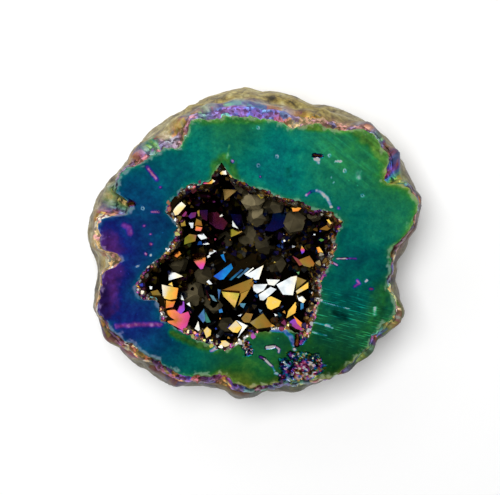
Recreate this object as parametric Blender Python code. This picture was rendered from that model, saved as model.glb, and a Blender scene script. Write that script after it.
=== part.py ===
"""One half of an agate geode: a nodule sawn through, its cut polished flat, its hollow lined with quartz.

Frame: +Z up. The polished face is level and on top, the back rests on z = 0, and the origin is on that
resting plane under the middle of the stone. Sizes are in millimetres until a mesh is made.
"""

import math
import random

import bmesh
import bpy
import numpy as np
from mathutils import Matrix, Vector, noise

MM = 0.001

# Driving sizes of the stone
HEIGHT = 25.0  # from the resting patch to the polished face
WAIST_DROP = 10.0  # the stone is widest this far under the polished face
EDGE_DROP = 1.2  # the polished face ends in a broken edge this deep
EDGE_SHARE = 0.42  # share of the overhang that the broken edge takes
REST_RADIUS_X = 12.0  # half length of the flat spot on the back
REST_RADIUS_Y = 10.5  # half width of the flat spot on the back
LUMP_HEIGHT = 1.5  # how far lumps rise on the outside
LUMP_SPACING = 7.0  # distance between lumps
SHARP_FROM = math.radians(35)  # the stone's edges steeper than this stay sharp

# Driving sizes of the hollow and its crystals
HOLLOW_DEPTH = 15.5  # deepest point of the agate's own hollow, under the polished face
HOLLOW_FLOOR = (-2.2, -2.2)  # the deepest point lies here, off the middle of the stone
HOLLOW_EVEN = 14.5  # radius towards which the hollow's lobes even out as it goes down
LINING = 1.0  # thickness of the quartz layer that the crystals grow from
CLEARANCE = 0.35  # gap between the agate and the quartz layer
FACE_SLOPE = math.radians(51.8)  # between a quartz point's face and the crystal's cross section
WELD = 0.002  # corners closer than this are one corner
SPARE = 0.6  # how much too large the quartz layer is before it is cut back
SMALL_CRYSTALS = 74  # places on the wall where a smaller crystal may grow
LONGEST_CRYSTAL = 9.0
SEED = 7

SPOKES = 96  # every ring of both solids has this many points
SPOKE_ANGLES = [(i + 0.5) * 360 / SPOKES for i in range(SPOKES)]

# Edge of the polished face: degrees counter-clockwise from +X, and radius
FACE_EDGE = [
    (2, 23.5), (6, 25.9), (12, 28.1), (18, 29.0), (22, 28.2), (25, 26.4), (28, 25.3), (33, 27.6),
    (40, 28.2), (46, 28.0), (51, 26.2), (56, 24.7), (63, 24.1), (68, 22.9), (72, 21.5), (81, 22.0),
    (92, 22.6), (108, 23.2), (114, 24.2), (119, 22.9), (125, 21.4), (130, 22.8), (139, 23.8),
    (146, 25.2), (151, 25.7), (156, 25.2), (160, 22.2), (165, 24.4), (170, 26.5), (179, 25.6),
    (184, 23.2), (188, 25.4), (194, 26.6), (202, 28.4), (207, 27.6), (214, 26.9), (222, 25.6),
    (231, 24.7), (239, 24.2), (248, 23.0), (254, 21.8), (261, 23.0), (272, 23.3), (284, 22.9),
    (294, 24.2), (306, 25.0), (320, 25.2), (327, 24.6), (336, 26.3), (342, 25.1), (347, 23.4),
]

# Widest outline of the stone, seen from above
WAIST = [
    (4, 27.6), (11, 29.2), (20, 30.1), (31, 29.7), (41, 29.3), (50, 28.7), (57, 27.9), (66, 26.4),
    (74, 26.9), (81, 26.9), (86, 26.4), (92, 26.9), (104, 26.7), (121, 26.4), (135, 26.3),
    (149, 26.5), (157, 27.3), (167, 28.5), (175, 28.9), (182, 28.3), (188, 27.1), (195, 28.0),
    (201, 29.9), (211, 30.0), (220, 29.8), (230, 28.8), (241, 28.4), (250, 27.0), (256, 26.6),
    (265, 26.9), (274, 26.3), (288, 26.6), (301, 27.1), (312, 27.4), (324, 27.8), (333, 28.5),
    (340, 27.0), (346, 25.3), (355, 25.1),
]

# Mouth of the hollow in the agate, measured where the sawn quartz begins
MOUTH = [
    (1, 14.0), (10, 14.2), (15, 15.4), (19, 16.2), (24, 15.5), (29, 14.5), (35, 13.0), (49, 11.9),
    (58, 10.9), (73, 10.8), (93, 11.6), (103, 12.8), (110, 16.0), (117, 15.1), (121, 14.3), (129, 14.7),
    (136, 15.8), (148, 16.7), (156, 16.1), (162, 13.6), (170, 13.6), (180, 14.6), (187, 17.1), (194, 20.1),
    (199, 21.2), (204, 19.8), (209, 18.7), (217, 19.5), (224, 19.0), (231, 18.1), (247, 17.9), (257, 17.7),
    (265, 15.4), (273, 14.2), (286, 14.0), (294, 14.9), (303, 16.8), (311, 15.9), (318, 14.8), (328, 13.9),
    (337, 12.6), (348, 13.1), (355, 13.7),
]

# The large crystals, each given by its broadest face: the middle of that face (x, y, distance under the
# polished face), the way the face looks (degrees counter-clockwise from +X, then from upright), the way
# the crystal's point lies from there (degrees counter-clockwise from +X), and the crystal's radius
LARGE_CRYSTALS = [
    (-4.2, 9.5, 4, 270, 20, 265, 1.5),
    (-12.8, 7.2, 2, 60, 26, 70, 1.3),
    (-6.8, 4.4, 6, 300, 35, 350, 3),
    (-9.9, 3.7, 5, 95, 24, 250, 1.3),
    (-9.9, 1.5, 5.5, 80, 30, 190, 1.8),
    (-3.5, 2.0, 8.5, 60, 30, 10, 1.3),
    (-3.0, 3.8, 8, 90, 26, 0, 1.1),
    (-9.4, -2.6, 7, 110, 28, 255, 1.6),
    (-13.2, -0.8, 2, 40, 30, 90, 0.9),
    (-13.6, -4.7, 3, 85, 26, 0, 1.4),
    (-14.3, -7.5, 3, 90, 27, 200, 1.4),
    (-13.2, -11.0, 2.2, 75, 30, 120, 2.4),
    (-8.6, -11.7, 4, 100, 30, 30, 1.4),
    (-4.9, -4.9, 8.5, 80, 30, 30, 1.7),
    (0.5, -5.0, 8, 92, 25, 50, 1.6),
    (-2.3, -8.0, 6, 88, 30, 50, 3),
    (1.4, -7.4, 6.2, 95, 24, 310, 1.2),
    (2.6, -8.3, 5.4, 90, 28, 90, 1.4),
    (3.3, -6.4, 7, 90, 27, 20, 1.2),
    (6.0, -6.9, 4.6, 92, 26, 60, 2.2),
    (8.6, -6.9, 2.6, 110, 30, 50, 1.3),
    (3.4, -9.8, 4, 85, 30, 130, 1.5),
    (6.7, -10.4, 2.6, 100, 28, 100, 1.9),
    (8.4, -9.0, 1.8, 130, 30, 80, 1.1),
    (7.3, -13.1, 1.2, 95, 26, 10, 1.7),
    (-2.6, -13.4, 2, 90, 28, 80, 1.8),
    (-8.1, -14.4, 2, 80, 30, 60, 1.2),
    (-6.2, -15.8, 0.9, 90, 28, 90, 1.6),
    (1.5, -12.4, 2, 100, 34, 90, 2),
    (-1.2, -11.9, 3, 90, 30, 150, 1.4),
    (-17.1, -5.9, 1.6, 30, 34, 0, 2),
    (7.7, 7.4, 1.2, 250, 30, 200, 1.3),
    (4.0, 4.2, 5, 250, 35, 230, 2.4),
    (8.6, -0.4, 4.5, 200, 40, 260, 1.2),
    (11.3, -0.4, 2, 180, 40, 250, 1.3),
    (8.3, -2.5, 4, 150, 30, 200, 2.4),
    (-0.9, 5.8, 8, 280, 20, 270, 2.8),
    (-9.0, -8.6, 5, 45, 25, 20, 2.6),
    (1.2, -1.7, 10.5, 100, 15, 200, 2.8),
    (-5.3, 12.4, 2, 270, 40, 270, 1.4),
    (12.3, 2.5, 2.4, 200, 40, 200, 1.8),
    (-12.4, 4.2, 2.5, 345, 38, 0, 1.6),
]


def around(outline, degrees):
    """Radius of a closed outline at an angle, on a smooth curve through the outline's points."""
    count = len(outline)
    degrees %= 360
    after = next((i for i, (angle, _) in enumerate(outline) if angle > degrees), count)

    def point(index):
        turn, place = divmod(index, count)
        angle, radius = outline[place]
        return angle + 360 * turn, radius

    (a0, r0), (a1, r1), (a2, r2), (a3, r3) = (point(after + step) for step in (-2, -1, 0, 1))
    t = (degrees - a1) / (a2 - a1)
    slope1 = (r2 - r0) / (a2 - a0) * (a2 - a1)
    slope2 = (r3 - r1) / (a3 - a1) * (a2 - a1)
    return (
        (2 * t**3 - 3 * t**2 + 1) * r1
        + (t**3 - 2 * t**2 + t) * slope1
        + (3 * t**2 - 2 * t**3) * r2
        + (t**3 - t**2) * slope2
    )


def spoke_point(degrees, radius, z):
    angle = math.radians(degrees)
    return Vector((radius * math.cos(angle), radius * math.sin(angle), z))


def ring(radius_at, z):
    """One ring of points, a point to each spoke, at radius_at(degrees)."""
    return [spoke_point(degrees, radius_at(degrees), z) for degrees in SPOKE_ANGLES]


def rest_radius(degrees):
    angle = math.radians(degrees)
    return 1 / math.hypot(math.cos(angle) / REST_RADIUS_X, math.sin(angle) / REST_RADIUS_Y)


def lumped(point):
    """A point of the outside, moved in or out by the stone's lumps. They die away at the resting plane, and
    are low at the waist, whose outline has its own bumps."""
    swell = noise.noise(point / LUMP_SPACING) + 0.5 * noise.noise(point * 2.3 / LUMP_SPACING)
    fade = min(1.0, point.z / 6) * (0.25 + 0.75 * min(1.0, abs(point.z - HEIGHT + WAIST_DROP) / 6))
    outward = Vector((point.x, point.y, 0)).normalized()
    return point + outward * (LUMP_HEIGHT * swell * fade)


def back_ring(t):
    """Ring of the back, from the flat spot at t = 0 to the waist at t = 1."""
    rise = 1 - math.cos(t * math.pi / 2)
    spread = math.sin(t * math.pi / 2) ** 0.85
    waist = lambda degrees: around(WAIST, degrees)
    radius = lambda degrees: rest_radius(degrees) + (waist(degrees) - rest_radius(degrees)) * spread
    return ring(radius, (HEIGHT - WAIST_DROP) * rise)


def shoulder_ring(t):
    """Ring of the shoulder, from the waist at t = 0 to the broken edge at t = 1."""
    drop = WAIST_DROP - (WAIST_DROP - EDGE_DROP) * math.sin(t * math.pi / 2)

    def radius(degrees):
        face, waist = around(FACE_EDGE, degrees), around(WAIST, degrees)
        edge = face + EDGE_SHARE * (waist - face)
        return edge + (waist - edge) * math.cos(t * math.pi / 2)

    return ring(radius, HEIGHT - drop)


def hollow_point(degrees, share, inset, whole_depth):
    """Point of the hollow's wall at a share of its depth, drawn in by inset. Its lobes even out downwards."""
    mouth = around(MOUTH, degrees) - inset
    lobed = mouth + (HOLLOW_EVEN - inset - mouth) * 0.7 * share
    radius = lobed * (1 - share**2.4) ** 0.55
    return spoke_point(degrees, radius, HEIGHT - share * whole_depth) + share * Vector((*HOLLOW_FLOOR, 0))


def hollow_rings(inset, whole_depth, shares):
    """Rings down the wall of the hollow, at these shares of its depth."""
    return [[hollow_point(angle, share, inset, whole_depth) for angle in SPOKE_ANGLES] for share in shares]


def hollow_floor(whole_depth):
    return Vector((*HOLLOW_FLOOR, HEIGHT - whole_depth))


def skin(rings, start, end):
    """Closed mesh through rings of SPOKES points, ended by a single point at each end."""
    mesh = bmesh.new()
    rows = [[mesh.verts.new(p) for p in points] for points in rings]
    for row, upper in zip(rows, rows[1:]):
        for i in range(SPOKES):
            j = (i + 1) % SPOKES
            mesh.faces.new((row[i], row[j], upper[j], upper[i]))
    for point, row, order in ((start, rows[0], 1), (end, rows[-1], -1)):
        tip = mesh.verts.new(point)
        for i in range(SPOKES):
            corner = (row[i], row[(i + 1) % SPOKES])[::order]
            mesh.faces.new((tip, *corner[::-1]))
    bmesh.ops.recalc_face_normals(mesh, faces=mesh.faces)
    bmesh.ops.triangulate(mesh, faces=mesh.faces)
    return mesh


def material(name, colour, roughness, metallic):
    made = bpy.data.materials.new(name)
    made.use_nodes = True
    shader = made.node_tree.nodes["Principled BSDF"]
    shader.inputs["Base Color"].default_value = (*colour, 1)
    shader.inputs["Roughness"].default_value = roughness
    shader.inputs["Metallic"].default_value = metallic
    made.diffuse_color = (*colour, 1)
    return made


def place(name, mesh, finish=None):
    """Makes an object of a mesh in millimetres."""
    mesh.transform(Matrix.Scale(MM, 4))
    data = bpy.data.meshes.new(name)
    mesh.to_mesh(data)
    mesh.free()
    made = bpy.data.objects.new(name, data)
    bpy.context.scene.collection.objects.link(made)
    if finish:
        data.materials.append(finish)
    return made


def as_helper(made):
    made.hide_render = True
    made.display_type = "WIRE"
    return made


def make_agate():
    """The stone itself: back, waist, shoulder, broken edge, polished face and hollow, as one skin."""
    outside = [back_ring(t) for t in (0.0, 0.25, 0.48, 0.75)]
    outside += [shoulder_ring(t) for t in (0.0, 0.35, 0.7, 1.0)]
    outside[1:] = [[lumped(p) for p in points] for points in outside[1:]]
    face = [
        ring(lambda d: around(FACE_EDGE, d), HEIGHT),
        ring(lambda d: around(MOUTH, d), HEIGHT),
    ]
    hollow = hollow_rings(0, HOLLOW_DEPTH, (0.3, 0.6, 0.82, 0.95))
    mesh = skin(outside + face + hollow, Vector((0, 0, 0)), hollow_floor(HOLLOW_DEPTH))
    stone = place("agate_shell", mesh, material("coated agate", (0.02, 0.16, 0.15), 0.3, 0.5))
    stone.data.shade_smooth()
    stone.data.set_sharp_from_angle(angle=SHARP_FROM)


def plane_of(normal, distance):
    return Vector(normal).normalized(), distance


def quartz_planes(radius, length, uneven):
    """Planes of a quartz crystal standing on the origin along +Z: six sides, six point faces and a base."""
    planes = [plane_of((0, 0, -1), 0.0)]
    apothem = radius * math.cos(math.pi / 6)
    for i in range(6):
        angle = i * math.pi / 3
        out = Vector((math.cos(angle), math.sin(angle), 0))
        planes.append((out, apothem))
        tilt = out * math.sin(FACE_SLOPE) + Vector((0, 0, math.cos(FACE_SLOPE)))
        # Every other face sits a little further out, as on real quartz, and so is smaller
        further = uneven if i % 2 else 0.0
        planes.append((tilt, (length + further) * math.cos(FACE_SLOPE)))
    return planes


def corners_of(planes):
    """Corners of the solid that a set of planes encloses."""
    normals = np.array([n for n, _ in planes])
    distances = np.array([d for _, d in planes])
    found = []
    count = len(planes)
    for i in range(count):
        for j in range(i + 1, count):
            for k in range(j + 1, count):
                three = normals[[i, j, k]]
                if abs(np.linalg.det(three)) < 1e-6:
                    continue
                point = np.linalg.solve(three, distances[[i, j, k]])
                if (normals @ point <= distances + 1e-6).all():
                    found.append(point)
    return np.unique(np.round(found, 5), axis=0)


def lean(azimuth, angle):
    """Unit vector that leans from upright by an angle, towards an azimuth, both in degrees."""
    a, t = math.radians(azimuth), math.radians(angle)
    return Vector((math.sin(t) * math.cos(a), math.sin(t) * math.sin(a), math.cos(t)))


def depth_in_wall(point):
    """How far a point is past the surface that crystals grow from: under 0 in the open hollow."""
    whole = HOLLOW_DEPTH - CLEARANCE - LINING
    share = (HEIGHT - point.z) / whole
    if share >= 1:
        return (share - 1) * whole
    share = max(0.0, share)
    middle = share * Vector((*HOLLOW_FLOOR, 0))
    x, y = point.x - middle.x, point.y - middle.y
    degrees = math.degrees(math.atan2(y, x))
    wall = hollow_point(degrees, share, CLEARANCE + LINING, whole) - middle
    return math.hypot(x, y) - math.hypot(wall.x, wall.y)


def rooted_length(tip, axis):
    """Length that takes a crystal from its tip back along its axis until it is rooted in the wall."""
    length = 2.0
    while length < LONGEST_CRYSTAL and depth_in_wall(tip - axis * length) < LINING * 0.7:
        length += 0.3
    return length


def add_crystal(mesh, tip, axis, side, radius, uneven):
    """Adds a quartz crystal whose point reaches tip, grown along axis. One of its sides faces side."""
    across = (side - axis * side.dot(axis)).normalized()
    turned = Matrix((across, axis.cross(across), axis)).transposed()
    length = rooted_length(tip, axis)
    base = tip - axis * length
    corners = corners_of(quartz_planes(radius, length, uneven))
    verts = [mesh.verts.new(base + turned @ Vector(corner)) for corner in corners]
    hull = bmesh.ops.convex_hull(mesh, input=verts)
    faces = [f for f in hull["geom"] if isinstance(f, bmesh.types.BMFace)]
    edges = list({e for f in faces for e in f.edges})
    bmesh.ops.dissolve_limit(mesh, angle_limit=math.radians(1), verts=verts, edges=edges)


def large_crystals():
    """Tip, axis, side, radius and unevenness of each large crystal, worked out from its broadest face."""
    for x, y, under, looks, tilt, point_way, radius in LARGE_CRYSTALS:
        normal = lean(looks, tilt)
        towards = lean(point_way, 90)
        up_face = (towards - normal * towards.dot(normal)).normalized()
        axis = normal * math.cos(FACE_SLOPE) + up_face * math.sin(FACE_SLOPE)
        face_length = radius * math.cos(math.pi / 6) / math.cos(FACE_SLOPE)
        tip = Vector((x, y, HEIGHT - under)) + up_face * (0.55 * face_length)
        yield tip, axis, normal, radius, 0.16 * radius


def small_crystals(large):
    """Smaller crystals, spread over the hollow's wall and pointing into it, where no large one stands."""
    chance = random.Random(SEED)
    whole = HOLLOW_DEPTH - CLEARANCE - LINING
    for i in range(SMALL_CRYSTALS):
        degrees = (i * 137.5 + chance.uniform(-10, 10)) % 360
        share = 0.1 + 0.9 * (i / SMALL_CRYSTALS) ** 0.8
        wall = hollow_point(degrees, share, CLEARANCE + LINING, whole)
        leaning = max(4, 68 * (1 - share**1.6) + chance.uniform(-10, 10))
        axis = lean(degrees + 180 + chance.uniform(-18, 18), leaning)
        radius = chance.uniform(1.2, 1.9) + 0.6 * share**3
        tip = wall + axis * chance.uniform(1.2, 2.4)
        side = lean(chance.uniform(0, 360), 90)
        uneven = chance.uniform(0.1, 0.4)
        if all((tip - other).length > 0.9 * width for other, _, _, width, _ in large):
            yield tip, axis, side, radius, uneven


def make_crust():
    """The quartz: a layer on the hollow's wall with crystals grown from it, all one body, sawn off flush."""
    shares = (0.0, 0.4, 0.75, 0.93)
    bound_depth = HOLLOW_DEPTH - CLEARANCE
    inner_depth = bound_depth - LINING

    # The layer starts out too thick and too tall, and is then cut back to its bounds with everything on it
    outer = hollow_rings(CLEARANCE - SPARE, bound_depth + SPARE, shares)
    inner = hollow_rings(CLEARANCE + LINING, inner_depth, shares)
    raise_top = Vector((0, 0, SPARE))
    outer.insert(0, [p + raise_top for p in outer[0]])
    inner.insert(0, [p + raise_top for p in inner[0]])
    layer = skin(outer[::-1] + inner, hollow_floor(bound_depth + SPARE), hollow_floor(inner_depth))
    crust = place("crystal_crust", layer, material("coated quartz", (0.35, 0.25, 0.12), 0.12, 0.9))

    group = bpy.data.collections.new("crystals")
    bpy.context.scene.collection.children.link(group)
    group.hide_render = True
    large = list(large_crystals())
    grown = large + list(small_crystals(large))
    for number, crystal in enumerate(grown):
        mesh = bmesh.new()
        add_crystal(mesh, *crystal)
        bmesh.ops.recalc_face_normals(mesh, faces=mesh.faces)
        made = as_helper(place(f"crystal_{number:02d}", mesh))
        bpy.context.scene.collection.objects.unlink(made)
        group.objects.link(made)

    # The saw and the wall of the hollow bound everything that grew
    bound = hollow_rings(CLEARANCE, bound_depth, shares)
    plug_skin = skin(bound[::-1], hollow_floor(bound_depth), Vector((0, 0, HEIGHT)))
    plug = as_helper(place("hollow_plug", plug_skin))

    join = crust.modifiers.new("crystals grown on", "BOOLEAN")
    join.operation = "UNION"
    join.operand_type = "COLLECTION"
    join.collection = group
    saw = crust.modifiers.new("sawn and bounded", "BOOLEAN")
    saw.operation = "INTERSECT"
    saw.object = plug
    keep_one_body(crust)


def keep_one_body(made):
    """Sets an object's modifiers into its mesh and keeps only its largest skin: the others are gaps shut in
    between crystals, which are filled, and chips that touch nothing."""
    shaped = made.evaluated_get(bpy.context.evaluated_depsgraph_get())
    data = bpy.data.meshes.new_from_object(shaped)
    mesh = bmesh.new()
    mesh.from_mesh(data)
    bmesh.ops.remove_doubles(mesh, verts=mesh.verts, dist=WELD * MM)
    skins = []
    left = set(mesh.faces)
    while left:
        front = {left.pop()}
        part = set(front)
        while front:
            front = {near for face in front for edge in face.edges for near in edge.link_faces} - part
            part |= front
        left -= part
        skins.append(list(part))
    skins.sort(key=len)
    bmesh.ops.delete(mesh, geom=[face for part in skins[:-1] for face in part], context="FACES")
    mesh.to_mesh(data)
    mesh.free()
    made.modifiers.clear()
    made.data = data


for old in list(bpy.data.objects):
    bpy.data.objects.remove(old)
make_agate()
make_crust()
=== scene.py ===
import itertools
import math
import random

import bpy
import numpy as np
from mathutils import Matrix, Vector, noise


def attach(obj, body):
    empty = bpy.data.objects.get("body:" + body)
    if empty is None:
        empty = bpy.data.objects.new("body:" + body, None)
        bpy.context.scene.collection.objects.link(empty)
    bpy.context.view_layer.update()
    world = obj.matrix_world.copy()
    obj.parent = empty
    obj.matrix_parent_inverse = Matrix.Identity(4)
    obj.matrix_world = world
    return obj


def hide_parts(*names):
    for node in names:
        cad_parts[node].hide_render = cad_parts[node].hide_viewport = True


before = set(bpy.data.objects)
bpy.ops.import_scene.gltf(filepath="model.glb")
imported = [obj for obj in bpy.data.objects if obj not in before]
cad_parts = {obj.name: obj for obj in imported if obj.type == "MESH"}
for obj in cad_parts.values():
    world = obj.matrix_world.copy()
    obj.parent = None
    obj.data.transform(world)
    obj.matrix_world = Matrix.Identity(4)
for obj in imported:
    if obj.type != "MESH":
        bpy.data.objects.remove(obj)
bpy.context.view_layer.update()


# The stone: half of an agate nodule, sawn through and ground flat on the cut, rough where it grew in its bed.
# A coat of metal vapour turns the polished agate into a dark rainbow mirror; on the rind it is a thin bloom.
MM = 0.001  # all lengths here are in mm, and all angles in tables in degrees
HEIGHT = 25.0
WAIST_DROP = 10.0  # how far the widest outline lies under the cut
EDGE_DROP = 1.2  # how far the broken edge falls
EDGE_SHARE = 0.42  # how much of the way out to the widest outline it reaches
REST_RADIUS_X = 12.0  # of the flat spot that the stone rests on
REST_RADIUS_Y = 10.5
LUMP_HEIGHT = 1.5
LUMP_SPACING = 7.0
HOLLOW_DEPTH = 15.5
HOLLOW_FLOOR = (-2.2, -2.2)  # its deepest place
HOLLOW_EVEN = 14.5  # the radius that its lobes even out towards
UNDERCUT = 0.8  # how much wider the hollow is than its dark mouth
SPOKES = 720  # points round the cut face; the back has half as many
FACE_ROWS = 74

# Edge of the polished face: degrees counter-clockwise from +X, and radius in mm
FACE_EDGE = [
    (2, 23.4), (4.6, 25.2), (6.2, 26), (9.3, 27.3), (12.7, 28.2), (16.6, 29.1), (18.7, 28.9), (21.9, 28.4),
    (24.4, 27.3), (26.5, 25.6), (28.9, 25.2), (32.3, 26.7), (33.6, 27.8), (37.7, 27.9), (40.6, 28.3),
    (44, 28.4), (48.2, 27.8), (51.3, 26.3), (55.9, 24.8), (59.8, 24.3), (62.9, 24.4), (67.3, 23.3),
    (70.9, 22.3), (72.5, 21.6), (75.3, 21.7), (81.2, 22.3), (86.7, 22.4), (92.3, 22.8), (101, 23),
    (108.1, 23.5), (115.3, 24.3), (117.8, 23.2), (121.1, 22.3), (123.8, 21.4), (127.3, 21.8), (130.3, 23.1),
    (134.7, 23.3), (138.9, 23.9), (143.5, 24.4), (147, 25.5), (149.9, 25.9), (154.3, 25.4), (156.7, 25.3),
    (158, 22.6), (160.4, 21.8), (164, 22.5), (165.8, 24.8), (168.4, 26.4), (171.1, 26.5), (174.7, 25.9),
    (179.3, 25.7), (181, 23), (184.1, 22.2), (186.4, 23.4), (188, 25.6), (189.5, 26.2), (193.5, 26.5),
    (197.8, 27.8), (202.2, 28.5), (203.9, 28.3), (207.3, 27.7), (210.5, 27.6), (214.6, 27), (218, 26),
    (222, 25.8), (225.6, 25.3), (229.4, 24.9), (232.8, 25), (237.8, 24.8), (241.9, 24.4), (246.2, 23.3),
    (251.3, 23), (254.7, 21.7), (259.1, 22.2), (261.8, 23.2), (265.6, 23.4), (271.2, 23.5), (276.9, 23.3),
    (283.1, 23), (289.7, 23.7), (297.1, 25.1), (301, 25.6), (305.9, 25.8), (310.9, 25.6), (315.8, 25.6),
    (319.8, 25.8), (324.4, 25), (331.1, 25.5), (334, 26.3), (335.7, 26.5), (338.8, 26), (341.4, 25.1),
    (344.6, 23.7), (349.1, 23.2), (351.5, 23.7), (355.6, 23.3), (359.2, 22.9),
]

# Widest outline of the stone, below the face, in the same terms
WAIST = [
    (4, 27.6), (11, 29.2), (20, 30.1), (31, 29.7), (41, 29.3), (50, 28.7), (57, 27.9), (66, 26.4),
    (74, 26.9), (81, 26.9), (86, 26.4), (92, 26.9), (104, 26.7), (121, 26.4), (135, 26.3), (149, 26.5),
    (157, 27.3), (167, 28.5), (175, 28.9), (182, 28.3), (188, 27.1), (195, 28.0), (201, 29.9), (211, 30.0),
    (220, 29.8), (230, 28.8), (241, 28.4), (250, 27.0), (256, 26.6), (265, 26.9), (274, 26.3), (288, 26.6),
    (301, 26.7), (312, 26.8), (324, 27.3), (333, 28.5), (340, 27.0), (346, 25.3), (355, 25.1),
]

# Where the dark hollow begins, inside the sawn quartz
MOUTH = [
    (0.9, 13.2), (10.3, 13.4), (14.3, 14.6), (18.2, 15.4), (24.1, 14.7), (29.2, 13.7), (35.5, 12),
    (49.4, 11.1), (58.7, 10.2), (73.2, 10), (93.2, 10.8), (105.9, 12.8), (109.4, 15.4), (111.9, 15.3),
    (116.9, 14.6), (120.3, 13.7), (128.2, 13.7), (130.6, 14.6), (140.7, 15.6), (150.2, 15.9), (156.1, 15.5),
    (158, 14.1), (162.6, 12.7), (170.1, 12.8), (180, 13.8), (186.7, 16.3), (193.7, 19.4), (197.1, 20.4),
    (203.1, 20.4), (206.7, 17.8), (209.7, 18), (217.7, 19), (224.3, 18.3), (231.1, 17.4), (238.9, 17.4),
    (247.5, 17.2), (255.9, 17.2), (258.4, 16.4), (265.7, 14.5), (272.1, 13.5), (285.7, 13.3), (294.8, 14.3),
    (301.8, 16.9), (310.2, 15.2), (317, 14.1), (326.8, 13.1), (336, 11.8), (347.8, 12.3), (355.6, 12.9),
]

# Width in mm of the crumbled border between the dark hollow and the polish, by degrees
RIM = [
    (10, 0.6), (40, 0.45), (75, 0.35), (100, 0.3), (125, 0.55), (160, 0.75), (200, 0.8), (235, 0.7),
    (270, 0.6), (300, 0.8), (340, 0.7),
]

# The coat on the polished face: soft patches of x, y and reach in mm, thickness of the film and brightness
# The brightness is partly the coat's own and partly painted sheen and shade: darker towards the bottom, most
# at the bottom right
FACE_COLOURS = [
    (-24.0, 1.1, 5, 0.33, 0.85), (-20.9, 5.4, 5, 0.475, 0.56), (-19.2, 8.8, 5, 0.49, 0.75),
    (-21.8, -8.4, 6, 0.43, 0.62), (-17.2, 14.8, 6, 0.56, 0.56), (-9.0, 19.1, 6, 0.605, 0.98),
    (-3.9, 22.2, 5, 0.72, 0.74), (4.6, 17.4, 6, 0.59, 0.92), (13.1, 18.2, 5, 0.69, 1.0),
    (18.0, 14.5, 4, 0.7, 1.05), (19.9, 8.8, 6, 0.62, 0.65), (23.3, 13.1, 4, 0.78, 1.01),
    (24.1, 6.2, 4, 0.69, 1.06), (18.2, -3.2, 6, 0.59, 0.55), (21.6, -7.0, 5, 0.62, 0.43),
    (16.5, -15.2, 6, 0.67, 0.4), (14.8, -20.1, 4, 0.72, 0.15), (8.8, -23.5, 4, 0.76, 0.13),
    (-2.2, -19.5, 5, 0.7, 0.61), (-3.1, -23.0, 3, 0.82, 0.24), (-9.0, -17.0, 5, 0.64, 0.56),
    (-15.0, -17.0, 5, 0.5, 0.38), (-20.6, -13.5, 5, 0.42, 0.88), (-15.8, 1.9, 5, 0.5, 0.53),
    (-15.8, -5.3, 5, 0.5, 0.44),
]

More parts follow.
